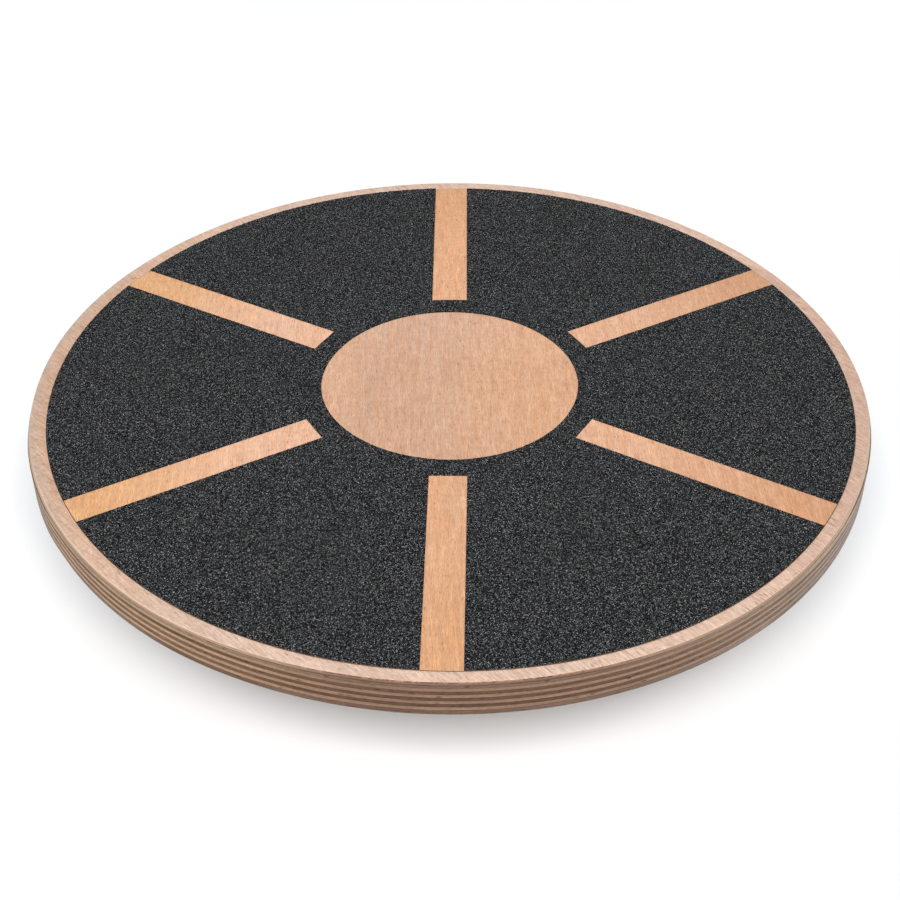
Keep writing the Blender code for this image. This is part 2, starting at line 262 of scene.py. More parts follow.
def pores(f, grain, length, width, share, size, seed):
    """Short strokes along the grain, the open vessels of a veneer: a mask from 0 to 1."""
    place = f.moved(f.sized(grain, length, width, width * 3.0), (seed, seed * 1.7, seed * 0.6))
    distance, colour = f.flat_cells(place)
    pick, vary, _ = f.parts(colour)
    reach = f.remap(pick, 1.0 - share, 1.0, 0.0, size, smooth=False)
    inner = f.math("MULTIPLY", reach, 0.45)
    mask = f.remap(distance, inner, f.math("ADD", reach, 0.0001), 1.0, 0.0)
    chosen = f.math("GREATER_THAN", pick, 1.0 - share)
    strength = f.remap(vary, 0.0, 1.0, 0.45, 1.0, smooth=False)
    return f.math("MULTIPLY", f.math("MULTIPLY", mask, chosen), strength)


def dashes(f, degrees, length, width, share, seed):
    """Short straight dashes along one direction and a ring round each of them, two masks from 0 to 1: painted glints
    and the painted shadow round them.
    """
    place = f.moved(f.sized(f.turned(f.mm, degrees), length, width, 1.0), (seed, seed * 1.7, 0.0))
    distance, colour = f.flat_cells(place)
    pick, vary, _ = f.parts(colour)
    chosen = f.math("GREATER_THAN", pick, 1.0 - share)
    strength = f.math("POWER", f.remap(vary, 0.0, 1.0, 0.35, 1.0, smooth=False), 1.6)
    line = f.math("MULTIPLY", f.remap(distance, 0.06, 0.18, 1.0, 0.0), strength)
    return f.math("MULTIPLY", line, chosen), f.math("MULTIPLY", f.remap(distance, 0.20, 0.50, 1.0, 0.0), chosen)


def edge_shade(f):
    """How much paler the edge is made at the sides, which get less light than the front."""
    lean = f.math("MULTIPLY", f.x, 1.0 / DECK_RADIUS)
    return f.math("DIVIDE", 1.0, f.math("SUBTRACT", 1.0, f.math("MULTIPLY", f.math("MULTIPLY", lean, lean), 0.38)))


def rim_finish():
    """Satin face veneer of the rim: pinkish, its grain diagonal, with short dark vessels."""
    f = Finish("rim_veneer_finish", specular=0.35)
    bend = f.noise(f.sized(f.mm, 120.0, 120.0), detail=1.0)
    grain = f.turned(f.mm, -47.5)
    drift = f.math("MULTIPLY", f.math("SUBTRACT", bend, 0.5), 12.0)
    push = f.add("ShaderNodeCombineXYZ")
    f.feed(push.inputs[1], drift)
    grain = f.vector("ADD", grain, push.outputs[0])
    broad = f.noise(f.sized(grain, 70.0, 9.0), detail=2.0)
    streak = f.noise(f.sized(grain, 11.0, 1.0), detail=4.0, roughness=0.65, distortion=0.3)
    fibre = f.noise(f.sized(grain, 4.0, 0.30), detail=2.0, roughness=0.6)
    fleck = f.noise(f.sized(grain, 2.6, 0.8), detail=2.0, roughness=0.6)
    mottle = f.noise(f.sized(f.mm, 1.5, 1.1), detail=1.0, roughness=0.6)
    colour = f.mix(f.remap(streak, 0.30, 0.72), seen(243, 213, 194), seen(221, 184, 160))
    colour = f.times(colour, f.remap(broad, 0.25, 0.75, 0.93, 1.06, smooth=False))
    colour = f.times(colour, f.remap(fibre, 0.25, 0.75, 0.82, 1.18, smooth=False))
    colour = f.times(colour, f.remap(fleck, 0.3, 0.75, 0.89, 1.10, smooth=False))
    colour = f.times(colour, f.remap(mottle, 0.3, 0.7, 0.92, 1.08, smooth=False))
    # painted light: the ring is made paler in front and behind than at its sides, standing in for how the light falls
    # on it; it is also warmest at the left
    front = f.remap(f.y, -190.0, -60.0, 1.06, 0.92)
    colour = f.times(colour, f.math("ADD", front, f.remap(f.y, 0.0, 170.0, 0.0, 0.15)))
    colour = f.vector("MULTIPLY", colour, f.mix(f.remap(f.x, -90.0, -188.0), (1.0, 1.0, 1.0), (1.0, 0.895, 0.79)))
    colour = f.vector("MULTIPLY", colour, f.mix(f.remap(f.x, 110.0, 175.0), (1.0, 1.0, 1.0), (1.0, 0.945, 0.93)))
    # the vessels are denser and longer at the right front
    side = f.math("ADD", f.math("MULTIPLY", f.x, 0.7), f.math("MULTIPLY", f.y, -0.7))
    right = f.remap(side, 40.0, 190.0)
    short = pores(f, grain, 7.0, 0.62, 0.24, 0.33, 3.0)
    long_ones = pores(f, grain, 11.0, 0.80, 0.30, 0.33, 11.0)
    vessels = f.math("MAXIMUM", f.math("MULTIPLY", short, f.mix_value(right, 0.85, 1.0)), f.math("MULTIPLY", long_ones, f.mix_value(right, 0.30, 0.95)))
    colour = f.mix(f.math("MULTIPLY", vessels, 0.74), colour, seen(128, 84, 64))
    rare = pores(f, grain, 5.0, 0.95, 0.07, 0.34, 23.0)
    colour = f.mix(f.math("MULTIPLY", rare, 0.75), colour, seen(158, 84, 62))
    # the arris shows the veneer's cut edge: dark and broken across the grain in front, pale brown elsewhere
    lean = f.math("MULTIPLY", f.x, 1.0 / DECK_RADIUS)
    dark_arris = f.math("MULTIPLY", f.remap(lean, -0.42, -0.16), f.remap(lean, 0.22, 0.50, 1.0, 0.0))
    level = f.math("ADD", f.z, f.math("MULTIPLY", f.math("SUBTRACT", fibre, 0.5), 0.03))
    # painted highlight: a pale cream line along the arris at the left front, where the rounded edge catches the light,
    # cooler at the far left
    left_front = f.math("ADD", f.math("MULTIPLY", f.x, -0.0041), f.math("MULTIPLY", f.y, -0.0026))
    arris_highlight = f.math("MULTIPLY", f.remap(left_front, 0.70, 0.84), f.remap(level, FACE_TOP - 0.002, FACE_TOP - 0.04))
    reach = f.vector("LENGTH", f.vector("MULTIPLY", f.mm, (1.0, 1.0, 0.0)))
    grey_left = f.math("MULTIPLY", f.remap(reach, 192.3, 195.0), f.remap(lean, -0.72, -0.92))
    colour = f.vector("MULTIPLY", colour, f.mix(grey_left, (1.0, 1.0, 1.0), (0.955, 1.06, 1.16)))
    colour = f.mix(f.math("MULTIPLY", arris_highlight, 0.65), colour, seen(233, 208, 188, 1.4))
    colour = f.vector("MULTIPLY", colour, f.mix(f.math("MULTIPLY", arris_highlight, f.remap(lean, -0.90, -0.96)), (1.0, 1.0, 1.0), (0.87, 0.91, 0.955)))
    at_left = f.remap(lean, -0.40, -0.64)
    start = f.mix_value(at_left, f.mix_value(dark_arris, FACE_TOP - 0.055, FACE_TOP - 0.020), FACE_TOP - 0.08)
    start = f.mix_value(f.remap(lean, 0.80, 0.88), start, FACE_TOP - 0.020)
    cut = f.remap(level, start, f.math("SUBTRACT", start, f.mix_value(at_left, 0.07, 0.24)))
    deeper = f.remap(level, FACE_TOP - 0.10, FACE_TOP - 0.45)
    ragged = f.noise(f.sized(f.mm, 2.2, 2.2, 0.5), detail=3.0, roughness=0.65)
    ragged = f.math("ADD", ragged, f.math("MULTIPLY", f.math("SUBTRACT", f.noise(f.sized(f.mm, 24.0, 24.0, 24.0), detail=1.0), 0.5), 0.7))
    dark_tone = f.mix(deeper, f.mix(f.remap(ragged, 0.40, 0.58), seen(172, 130, 102, 1.5), seen(104, 60, 38, 1.5)), seen(116, 84, 64, 1.5))
    side_tone = f.times(f.times(seen(167, 139, 117, 1.5), edge_shade(f)), f.math("ADD", f.remap(lean, 0.30, 0.50, 1.0, 0.88), f.remap(lean, 0.76, 0.86, 0.0, 0.20)))
    side_tone = f.vector("MULTIPLY", side_tone, f.mix(f.remap(lean, 0.80, 0.92), (1.0, 1.0, 1.0), (1.07, 1.26, 1.38)))
    edge_tone = f.mix(dark_arris, side_tone, dark_tone)
    edge_tone = f.times(edge_tone, f.remap(streak, 0.25, 0.75, 0.84, 1.16, smooth=False))
    colour = f.mix(cut, colour, edge_tone)
    worn = f.noise(f.sized(f.mm, 38.0, 38.0), detail=3.0)
    rough = f.remap(worn, 0.3, 0.7, 0.36, 0.50, smooth=False)
    rough = f.math("ADD", rough, f.math("MULTIPLY", vessels, 0.25))
    rough = f.math("ADD", rough, f.math("MULTIPLY", cut, 0.18))
    height = f.math("SUBTRACT", f.math("MULTIPLY", fibre, 0.55), vessels)
    return f.finish(colour, rough, f.bump(height, 0.045, 0.55))


INLAY_LIT = 1.18  # the same for the disc, whose pores darken it


def inlay_finish():
    """Satin veneer seen through the windows: warm orange, its grain front to back."""
    f = Finish("inlay_veneer_finish", specular=0.35)
    grain = f.turned(f.mm, 91.5)
    bend = f.noise(f.sized(f.mm, 90.0, 90.0), detail=1.0)
    push = f.add("ShaderNodeCombineXYZ")
    f.feed(push.inputs[1], f.math("MULTIPLY", f.math("SUBTRACT", bend, 0.5), 10.0))
    grain = f.vector("ADD", grain, push.outputs[0])
    broad = f.noise(f.moved(f.sized(grain, 110.0, 17.0), (4.2, 1.3, 0.0)), detail=2.0)
    streak = f.noise(f.sized(grain, 30.0, 1.6), detail=3.0, roughness=0.6)
    fibre = f.noise(f.sized(grain, 9.0, 0.23), detail=2.0, roughness=0.6)
    speck = f.noise(f.sized(grain, 2.2, 0.30), detail=1.5, roughness=0.6)
    mottle = f.noise(f.sized(grain, 5.5, 3.0), detail=2.0, roughness=0.55)
    figure = f.noise(f.sized(grain, 3.0, 11.0), detail=1.5, roughness=0.5)
    reach = f.vector("LENGTH", f.vector("MULTIPLY", f.mm, (1.0, 1.0, 0.0)))
    outer = f.remap(f.math("ADD", reach, f.math("MULTIPLY", mottle, 26.0)), 102.0, 193.0)
    middle = f.remap(reach, 64.0, 68.0, 1.0, 0.0)
    beside = f.math("ABSOLUTE", f.x)
    left = f.remap(f.x, -150.0, 110.0, 1.0, 0.0, smooth=False)
    bar_tone = f.mix(left, seen(226, 173, 137, INLAY_LIT), seen(240, 190, 159, INLAY_LIT))
    bar_tone = f.mix(f.remap(broad, 0.32, 0.68, 0.0, 0.5), bar_tone, seen(231, 185, 154, INLAY_LIT))
    end_tone = f.mix(left, seen(220, 167, 130, INLAY_LIT), seen(234, 180, 132, INLAY_LIT))
    colour = f.mix(outer, bar_tone, end_tone)
    # the two bars along the grain are a deeper orange than the other four, whose inner ends are the palest
    colour = f.vector("MULTIPLY", colour, f.mix(f.math("MULTIPLY", f.remap(beside, 14.0, 40.0, 1.0, 0.0), f.remap(reach, 90.0, 150.0, 1.0, 0.0)), (1.0, 1.0, 1.0), (0.965, 0.94, 0.87)))
    colour = f.vector("MULTIPLY", colour, f.mix(f.math("MULTIPLY", f.remap(beside, 20.0, 60.0), f.remap(reach, 110.0, 185.0, 1.0, 0.0)), (1.0, 1.0, 1.0), (1.04, 1.075, 1.12)))
    disc_tone = f.mix(f.remap(f.math("ADD", f.x, f.math("MULTIPLY", broad, 40.0)), 10.0, 60.0), seen(217, 174, 146, 1.20), seen(225, 176, 141, 1.18))
    disc_tone = f.mix(f.remap(f.x, -38.0, -60.0), disc_tone, seen(227, 181, 150, 1.20))
    # painted light: the disc is made paler and cooler behind, and the bar behind it paler
    behind = f.remap(f.y, 5.0, 60.0)
    disc_tone = f.vector("MULTIPLY", disc_tone, f.mix(behind, (1.0, 1.0, 1.0), (1.045, 1.075, 1.13)))
    bar_behind = f.math("MULTIPLY", behind, f.remap(beside, 14.0, 40.0, 1.0, 0.0))
    colour = f.vector("MULTIPLY", colour, f.mix(bar_behind, (1.0, 1.0, 1.0), (1.065, 1.04, 1.0)))
    colour = f.mix(middle, colour, disc_tone)
    colour = f.times(colour, f.remap(streak, 0.25, 0.75, 0.91, 1.09, smooth=False))
    colour = f.times(colour, f.remap(fibre, 0.25, 0.75, 0.73, 1.27, smooth=False))
    colour = f.times(colour, f.remap(speck, 0.25, 0.75, 0.82, 1.18, smooth=False))
    colour = f.times(colour, f.remap(mottle, 0.28, 0.72, 0.94, 1.06, smooth=False))
    colour = f.times(colour, f.remap(figure, 0.3, 0.7, 0.965, 1.035, smooth=False))
    # painted light: the veneer is made darker in front and paler behind, evening out the light, which falls a little
    # stronger on the front
    colour = f.times(colour, f.remap(f.y, -150.0, 175.0, 0.80, 1.07, smooth=False))
    ruddy = f.noise(f.moved(f.sized(grain, 24.0, 2.4), (11.0, 3.0, 0.0)), detail=2.0, roughness=0.6)
    colour = f.vector("MULTIPLY", colour, f.mix(f.remap(ruddy, 0.34, 0.68), (1.01, 1.03, 1.035), (0.985, 0.925, 0.87)))
    fine = pores(f, grain, 3.4, 0.72, 0.24, 0.40, 5.0)
    coarse = pores(f, grain, 5.0, 1.40, 0.13, 0.32, 17.0)
    vessels = f.math("MAXIMUM", f.math("MULTIPLY", fine, 0.8), coarse)
    colour = f.mix(f.math("MULTIPLY", vessels, 0.58), colour, seen(160, 92, 62))
    worn = f.noise(f.moved(f.sized(f.mm, 30.0, 30.0), (9.0, 2.0, 0.0)), detail=3.0)
    rough = f.remap(worn, 0.3, 0.7, 0.36, 0.50, smooth=False)
    rough = f.math("ADD", rough, f.math("MULTIPLY", vessels, 0.25))
    # its cut edge in the joint round it is dark with glue
    colour = f.mix(f.remap(f.z, FACE_TOP - 0.012, FACE_TOP - 0.05), colour, (0.060, 0.030, 0.018))
    height = f.math("SUBTRACT", f.math("MULTIPLY", fibre, 0.5), vessels)
    return f.finish(colour, rough, f.bump(height, 0.03, 0.4))


# tones of the plies' edges in front, at the left and at the right, the light that they are seen under, how streaky and
# how grainy they are, and a factor for the right half of the front
PLY_TONES = {
    "light": ((154, 127, 109), (182, 156, 134), (166, 147, 133), 1.60, 0.20, 0.24, (1.045, 1.08, 1.16)),
    "dark": ((118, 86, 64), (127, 96, 72), (141, 122, 110), 1.78, 0.34, 0.36, (1.08, 1.08, 1.06)),
    "darkest": ((110, 78, 57), (135, 101, 75), (148, 130, 117), 1.85, 0.36, 0.38, (1.20, 1.17, 1.12)),
    "grey": ((130, 105, 89), (166, 140, 119), (163, 144, 128), 1.63, 0.18, 0.22, (1.06, 1.07, 1.08)),
    "under": ((120, 94, 79), (129, 111, 95), (157, 144, 133), 1.60, 0.20, 0.26, (1.07, 1.17, 1.28)),
}


def ply_finish(name, low, high, tone, seed):
    """The sanded edge of one ply: long streaks round the rim, darker at its glue lines, with torn fibres and voids
    whose shade is partly painted.
    """
    in_front, at_left, at_right, light, contrast, grain_contrast, right_front = PLY_TONES[tone]
    f = Finish(name + "_finish", roughness=0.62, specular=0.25)
    place = f.moved(f.mm, (seed * 37.1, seed * 11.3, seed * 5.7))
    wave = f.noise(f.sized(place, 21.0, 21.0, 400.0), detail=2.0)
    small = f.noise(f.sized(place, 3.6, 3.6, 9.0), detail=2.0)
    z = f.math("ADD", f.z, f.math("MULTIPLY", f.math("SUBTRACT", wave, 0.5), 0.55))
    z = f.math("ADD", z, f.math("MULTIPLY", f.math("SUBTRACT", small, 0.5), 0.20))
    streak = f.noise(f.sized(place, 15.0, 15.0, 0.16), detail=3.0, roughness=0.6)
    grainy = f.noise(f.sized(place, 1.7, 1.7, 0.75), detail=2.0, roughness=0.6)
    broad = f.noise(f.sized(place, 45.0, 45.0, 45.0), detail=2.0)
    # the sides of the board show the sheets along another grain, so their tones lie closer together
    lean = f.math("MULTIPLY", f.x, 1.0 / DECK_RADIUS)
    colour = f.mix(f.remap(lean, -0.14, -0.62), seen(*in_front, light), seen(*at_left, light))
    colour = f.mix(f.remap(lean, 0.28, 0.92), colour, seen(*at_right, light))
    colour = f.times(colour, edge_shade(f))
    right = f.remap(lean, 0.02, 0.28)
    if tone == "darkest":
        right = f.math("MULTIPLY", right, f.remap(lean, 0.50, 0.72, 1.0, 0.0))
    colour = f.vector("MULTIPLY", colour, f.mix(right, (1.0, 1.0, 1.0), right_front))
    if tone in ("dark", "under"):
        stretch = f.math("MULTIPLY", f.remap(lean, -0.68, -0.58), f.remap(lean, -0.44, -0.32, 1.0, 0.0))
        colour = f.vector("MULTIPLY", colour, f.mix(stretch, (1.0, 1.0, 1.0), (0.76, 0.64, 0.52)))
        stretch = f.math("MULTIPLY", f.remap(lean, 0.64, 0.70), f.remap(lean, 0.82, 0.88, 1.0, 0.0))
        colour = f.vector("MULTIPLY", colour, f.mix(stretch, (1.0, 1.0, 1.0), (0.72, 0.68, 0.64)))
    colour = f.vector("MULTIPLY", colour, f.mix(f.remap(lean, -0.84, -0.93), (1.0, 1.0, 1.0), (0.81, 0.965, 1.15)))
    colour = f.vector("MULTIPLY", colour, f.mix(f.remap(lean, 0.70, 0.90), (0.975, 0.905, 0.80), (0.97, 0.96, 0.95)))
    colour = f.vector("MULTIPLY", colour, f.mix(f.remap(lean, 0.89, 0.945), (1.0, 1.0, 1.0), (0.90, 1.09, 1.15) if tone == "grey" else (0.89, 0.96, 0.98)))
    colour = f.times(colour, f.remap(streak, 0.3, 0.7, 1.0 - contrast, 1.0 + contrast))
    colour = f.times(colour, f.remap(grainy, 0.25, 0.75, 1.0 - grain_contrast, 1.0 + grain_contrast, smooth=False))
    broad_contrast = 0.16 if tone in ("dark", "darkest") else 0.10
    colour = f.times(colour, f.remap(broad, 0.3, 0.7, 1.0 - broad_contrast, 1.0 + broad_contrast, smooth=False))
    # glue lines
    base, top = DECK_BOTTOM + low, DECK_BOTTOM + high
    line = f.math("MAXIMUM", f.remap(z, base + 0.02, base + 0.30, 1.0, 0.0), f.remap(z, top - 0.30, top - 0.02))
    if tone == "grey":
        # hardly any line shows on the rounded arris at the right
        line = f.math("MULTIPLY", line, f.remap(lean, 0.70, 0.80, 1.0, 0.3))
        colour = f.times(colour, f.remap(lean, 0.70, 0.80, 1.0, 1.27))
        colour = f.times(colour, f.remap(lean, 0.84, 0.94, 1.0, 0.87))
    patch = f.remap(f.noise(f.sized(place, 30.0, 30.0, 30.0), detail=3.0), 0.35, 0.65, 0.25, 1.0)
    colour = f.mix(f.math("MULTIPLY", f.math("MULTIPLY", line, patch), 0.55), colour, (0.062, 0.030, 0.018))
    # torn fibres and voids: nearly black, partly their own tone and partly painted shade in the hollows
    distance, pick = f.cells(f.sized(place, 3.4, 3.4, 1.05))
    chosen, vary, _ = f.parts(pick)
    share = {"dark": 0.30, "darkest": 0.36, "grey": 0.12, "light": 0.07, "under": 0.12}[tone]
    torn = f.math("MULTIPLY", f.remap(distance, 0.20, 0.48, 1.0, 0.0), f.math("GREATER_THAN", chosen, 1.0 - share))
    torn = f.math("MULTIPLY", torn, f.remap(vary, 0.0, 1.0, 0.3, 1.0, smooth=False))
    torn = f.math("MULTIPLY", torn, f.remap(f.math("ABSOLUTE", lean), 0.55, 0.9, 1.0, 0.4))
    colour = f.mix(f.math("MULTIPLY", torn, 0.8), colour, (0.034, 0.014, 0.008))
    height = f.math("SUBTRACT", f.math("MULTIPLY", f.math("ADD", streak, grainy), 0.5), torn)
    rough = f.remap(grainy, 0.25, 0.75, 0.52, 0.74, smooth=False)
    return f.finish(colour, rough, f.bump(height, 0.10, 0.6))


def bottom_finish():
    """The veneer of the underside, plainer than the rim, with its grain left to right."""
    f = Finish("bottom_veneer_finish", specular=0.3)
    grain = f.turned(f.mm, 2.0)
    broad = f.noise(f.sized(grain, 130.0, 16.0), detail=2.0)
    streak = f.noise(f.sized(grain, 50.0, 2.4), detail=3.0, roughness=0.55)
    fibre = f.noise(f.sized(grain, 12.0, 0.5), detail=3.0, roughness=0.62)
    colour = f.mix(f.remap(streak, 0.3, 0.7), (0.56, 0.41, 0.31), (0.47, 0.31, 0.22))
    colour = f.times(colour, f.remap(broad, 0.25, 0.75, 0.88, 1.08, smooth=False))
    colour = f.times(colour, f.remap(fibre, 0.25, 0.75, 0.92, 1.08, smooth=False))
    vessels = pores(f, grain, 7.0, 1.0, 0.35, 0.34, 7.0)
    colour = f.mix(f.math("MULTIPLY", vessels, 0.55), colour, (0.20, 0.09, 0.055))
    # its cut edge
    cut = f.remap(f.z, 60.03, 60.26)
    edge_tone = f.mix(f.remap(streak, 0.3, 0.7), (0.225, 0.150, 0.110), (0.130, 0.080, 0.055))
    colour = f.mix(cut, colour, edge_tone)
    rough = f.remap(f.noise(f.sized(f.mm, 40.0, 40.0), detail=3.0), 0.3, 0.7, 0.45, 0.60, smooth=False)
    height = f.math("SUBTRACT", f.math("MULTIPLY", fibre, 0.55), vessels)
    return f.finish(colour, rough, f.bump(height, 0.045, 0.6))


def glue_finish():
    """Dark brown resin squeezed out between the plies and sanded back."""
    f = Finish("glue_finish", specular=0.5)
    tone = f.noise(f.sized(f.mm, 6.0, 6.0, 0.5), detail=3.0)
    colour = f.mix(f.remap(tone, 0.3, 0.7), (0.040, 0.018, 0.010), (0.105, 0.052, 0.030))
    # paler towards the right side, up to 2.4 times
    colour = f.times(colour, f.remap(f.math("MULTIPLY", f.x, 1.0 / DECK_RADIUS), 0.70, 0.84, 1.0, 2.4))
    rough = f.remap(tone, 0.3, 0.7, 0.35, 0.6, smooth=False)
    return f.finish(colour, rough, f.bump(tone, 0.03, 0.5))


def grit_finish():
    """Black mineral grit in resin: dark grains, with painted highlights where the grains catch the light: a network of
    lighter rims and single bright grains.
    """
    f = Finish("grit_finish", specular=0.08)
    tint = f.noise(f.moved(f.sized(f.mm, 0.8, 0.8, 0.8), (3.0, 8.0, 1.0)), detail=1.0, colour=True)
    # painted highlights on the grains' rims: the level lines of two fields, broken into short pieces
    field = f.noise(f.sized(f.mm, 1.1, 1.1, 1.1), detail=0.0, roughness=0.5, distortion=0.6)
    away = f.math("ABSOLUTE", f.math("SUBTRACT", field, 0.5))
    rims = f.remap(away, 0.0, 0.020, 1.0, 0.0)
    field_2 = f.noise(f.moved(f.sized(f.mm, 0.95, 0.95, 0.95), (31.0, 17.0, 5.0)), detail=0.0, roughness=0.5, distortion=0.5)
    away_2 = f.math("ABSOLUTE", f.math("SUBTRACT", field_2, 0.48))
    rims_2 = f.remap(away_2, 0.0, 0.020, 1.0, 0.0)
    gate = f.remap(f.noise(f.moved(f.sized(f.mm, 1.9, 1.9, 1.9), (7.0, 3.0, 0.0)), detail=1.0), 0.46, 0.54)
    gate_2 = f.remap(f.noise(f.moved(f.sized(f.mm, 1.7, 1.7, 1.7), (2.0, 13.0, 4.0)), detail=1.0), 0.47, 0.55)
    lines = f.math("MAXIMUM", f.math("MULTIPLY", rims, gate), f.math("MULTIPLY", rims_2, gate_2))
    # painted highlights: short straight glints in six directions, each with a painted shadow round it
    glints, glint_shadows = None, None
    for number, degrees in enumerate((8.0, 38.0, 68.0, 98.0, 128.0, 158.0)):
        line, glint_shadow = dashes(f, degrees, 2.4, 0.46, 0.13, 3.0 + 7.0 * number)
        glints = line if glints is None else f.math("MAXIMUM", glints, line)
        glint_shadows = glint_shadow if glint_shadows is None else f.math("MAXIMUM", glint_shadows, glint_shadow)
    # grains: each its own tone, with a few painted as bright sparkles
    distance, pick = f.flat_cells(f.sized(f.mm, 0.38, 0.38, 0.38))
    chosen, vary, _ = f.parts(pick)
    core = f.remap(distance, 0.30, 0.66, 1.0, 0.25)
    dull = f.math("POWER", vary, 3.9)
    cloud = f.noise(f.sized(f.mm, 26.0, 26.0, 26.0), detail=3.0)
    base = f.mix(f.math("MULTIPLY", dull, core), (0.0022, 0.0025, 0.0031), (0.080, 0.083, 0.086))
    base = f.times(base, f.remap(cloud, 0.3, 0.7, 0.88, 1.12, smooth=False))
    # painted shadow round each glint
    base = f.times(base, f.remap(glint_shadows, 0.0, 1.0, 1.0, 0.20, smooth=False))
    # painted highlights: the colour of the lit rims and of the glints, which are 2.4 times brighter
    bright = f.mix(0.25, (0.290, 0.295, 0.302), f.times(tint, 0.56))
    colour = f.mix(f.math("MULTIPLY", lines, f.remap(vary, 0.0, 1.0, 0.40, 1.0, smooth=False)), base, bright)
    colour = f.mix(glints, colour, f.times(bright, 2.4))
    # painted highlights: single grains made bright as sparkles
    spark = f.math("MULTIPLY", f.remap(distance, 0.20, 0.45, 1.0, 0.0), f.math("GREATER_THAN", chosen, 0.970))
    colour = f.mix(spark, colour, (0.36, 0.36, 0.36))
    _, facet = f.cells(f.sized(f.mm, 0.50, 0.50, 0.50))
    facet_level, facet_rough, _ = f.parts(facet)
    height = f.math("ADD", f.math("MULTIPLY", facet_level, 0.6), f.math("MULTIPLY", f.math("MAXIMUM", lines, glints), 0.5))
    rough = f.remap(facet_rough, 0.0, 1.0, 0.42, 0.85, smooth=False)
    return f.finish(colour, rough, f.bump(height, 0.16, 0.8))


def plastic_finish():
    """Black moulded plastic with a fine spark-eroded texture, a little scuffed where it is handled."""
    f = Finish("dome_plastic_finish", specular=0.45)
    fine = f.noise(f.sized(f.mm, 0.55, 0.55, 0.55), detail=3.0, roughness=0.6)
    pebble_distance, _ = f.cells(f.sized(f.mm, 0.9, 0.9, 0.9))
    cloud = f.noise(f.sized(f.mm, 28.0, 28.0, 28.0), detail=4.0, roughness=0.6)
    scuff = f.noise(f.sized(f.turned(f.mm, 24.0), 14.0, 0.7, 1.1), detail=2.0, roughness=0.6)
    low = f.remap(f.z, 8.0, 30.0, 1.0, 0.0)
    marks = f.math("MULTIPLY", f.remap(scuff, 0.60, 0.74), f.remap(cloud, 0.45, 0.62))
    marks = f.math("MULTIPLY", marks, f.math("ADD", f.math("MULTIPLY", low, 0.8), 0.25))
    colour = f.mix(f.remap(cloud, 0.3, 0.7), (0.0165, 0.0165, 0.018), (0.023, 0.023, 0.0245))
    colour = f.times(colour, f.remap(fine, 0.3, 0.7, 0.88, 1.12, smooth=False))
    colour = f.mix(f.math("MULTIPLY", marks, 0.6), colour, (0.075, 0.075, 0.078))
    rough = f.remap(cloud, 0.3, 0.7, 0.42, 0.54, smooth=False)
    rough = f.math("ADD", rough, f.math("MULTIPLY", marks, 0.22))
    height = f.math("ADD", f.math("MULTIPLY", fine, 0.6), f.math("MULTIPLY", pebble_distance, 0.6))
    return f.finish(colour, rough, f.bump(height, 0.05, 0.5))


def rubber_finish():
    """Matt black rubber, a little dusty where it rolls on the floor."""
    f = Finish("pad_rubber_finish", specular=0.3)
    fine = f.noise(f.sized(f.mm, 0.8, 0.8, 0.8), detail=4.0, roughness=0.65)
    dust = f.noise(f.sized(f.mm, 9.0, 9.0, 9.0), detail=5.0, roughness=0.65)
    colour = f.mix(f.remap(dust, 0.42, 0.68), (0.026, 0.026, 0.027), (0.060, 0.058, 0.055))
    colour = f.times(colour, f.remap(fine, 0.3, 0.7, 0.85, 1.15, smooth=False))
    rough = f.remap(dust, 0.3, 0.7, 0.72, 0.9, smooth=False)
    return f.finish(colour, rough, f.bump(fine, 0.08, 0.6))


def zinc_finish():
    """Bright zinc plating with faint turning marks and spangle."""
    f = Finish("screw_zinc_finish", metallic=1.0)
    spangle = f.noise(f.sized(f.mm, 1.1, 1.1, 1.1), detail=3.0, roughness=0.6)
    lines = f.noise(f.sized(f.mm, 2.0, 2.0, 0.12), detail=2.0)
    colour = f.mix(f.remap(spangle, 0.3, 0.7), (0.50, 0.51, 0.53), (0.66, 0.66, 0.65))
    rough = f.remap(spangle, 0.3, 0.7, 0.26, 0.42, smooth=False)
    return f.finish(colour, rough, f.bump(lines, 0.02, 0.5))


# ------------------------------------------------------------------ mesh building
def mesh_object(name, points_mm, faces, uv=None, smooth=True, sharp_degrees=None):
    """An object from points in millimetres and faces given as a list of index arrays, one array for each kind of polygon."""
    mesh = bpy.data.meshes.new(name)
    points = np.asarray(points_mm, np.float64) / 1000.0
    mesh.vertices.add(len(points))
    mesh.vertices.foreach_set("co", points.astype(np.float32).ravel())
    corners = np.concatenate([np.asarray(f, np.int32).ravel() for f in faces])
    sizes = np.concatenate([np.full(len(f), np.asarray(f).shape[1], np.int32) for f in faces])
    starts = np.concatenate(([0], np.cumsum(sizes)[:-1])).astype(np.int32)
    mesh.loops.add(len(corners))
    mesh.loops.foreach_set("vertex_index", corners)
    mesh.polygons.add(len(sizes))
    mesh.polygons.foreach_set("loop_start", starts)
    if uv is not None:
        layer = mesh.uv_layers.new(name="OFBake")
        layer.data.foreach_set("uv", np.concatenate([np.asarray(u, np.float32).ravel() for u in uv]))
    mesh.update(calc_edges=True)
    if mesh.validate():
        print("mesh", name, "had to be repaired")
    if smooth:
        mesh.shade_smooth()
        if sharp_degrees is not None:
            mesh.set_sharp_from_angle(angle=math.radians(sharp_degrees))
    item = bpy.data.objects.new(name, mesh)
    bpy.context.scene.collection.objects.link(item)
    return item


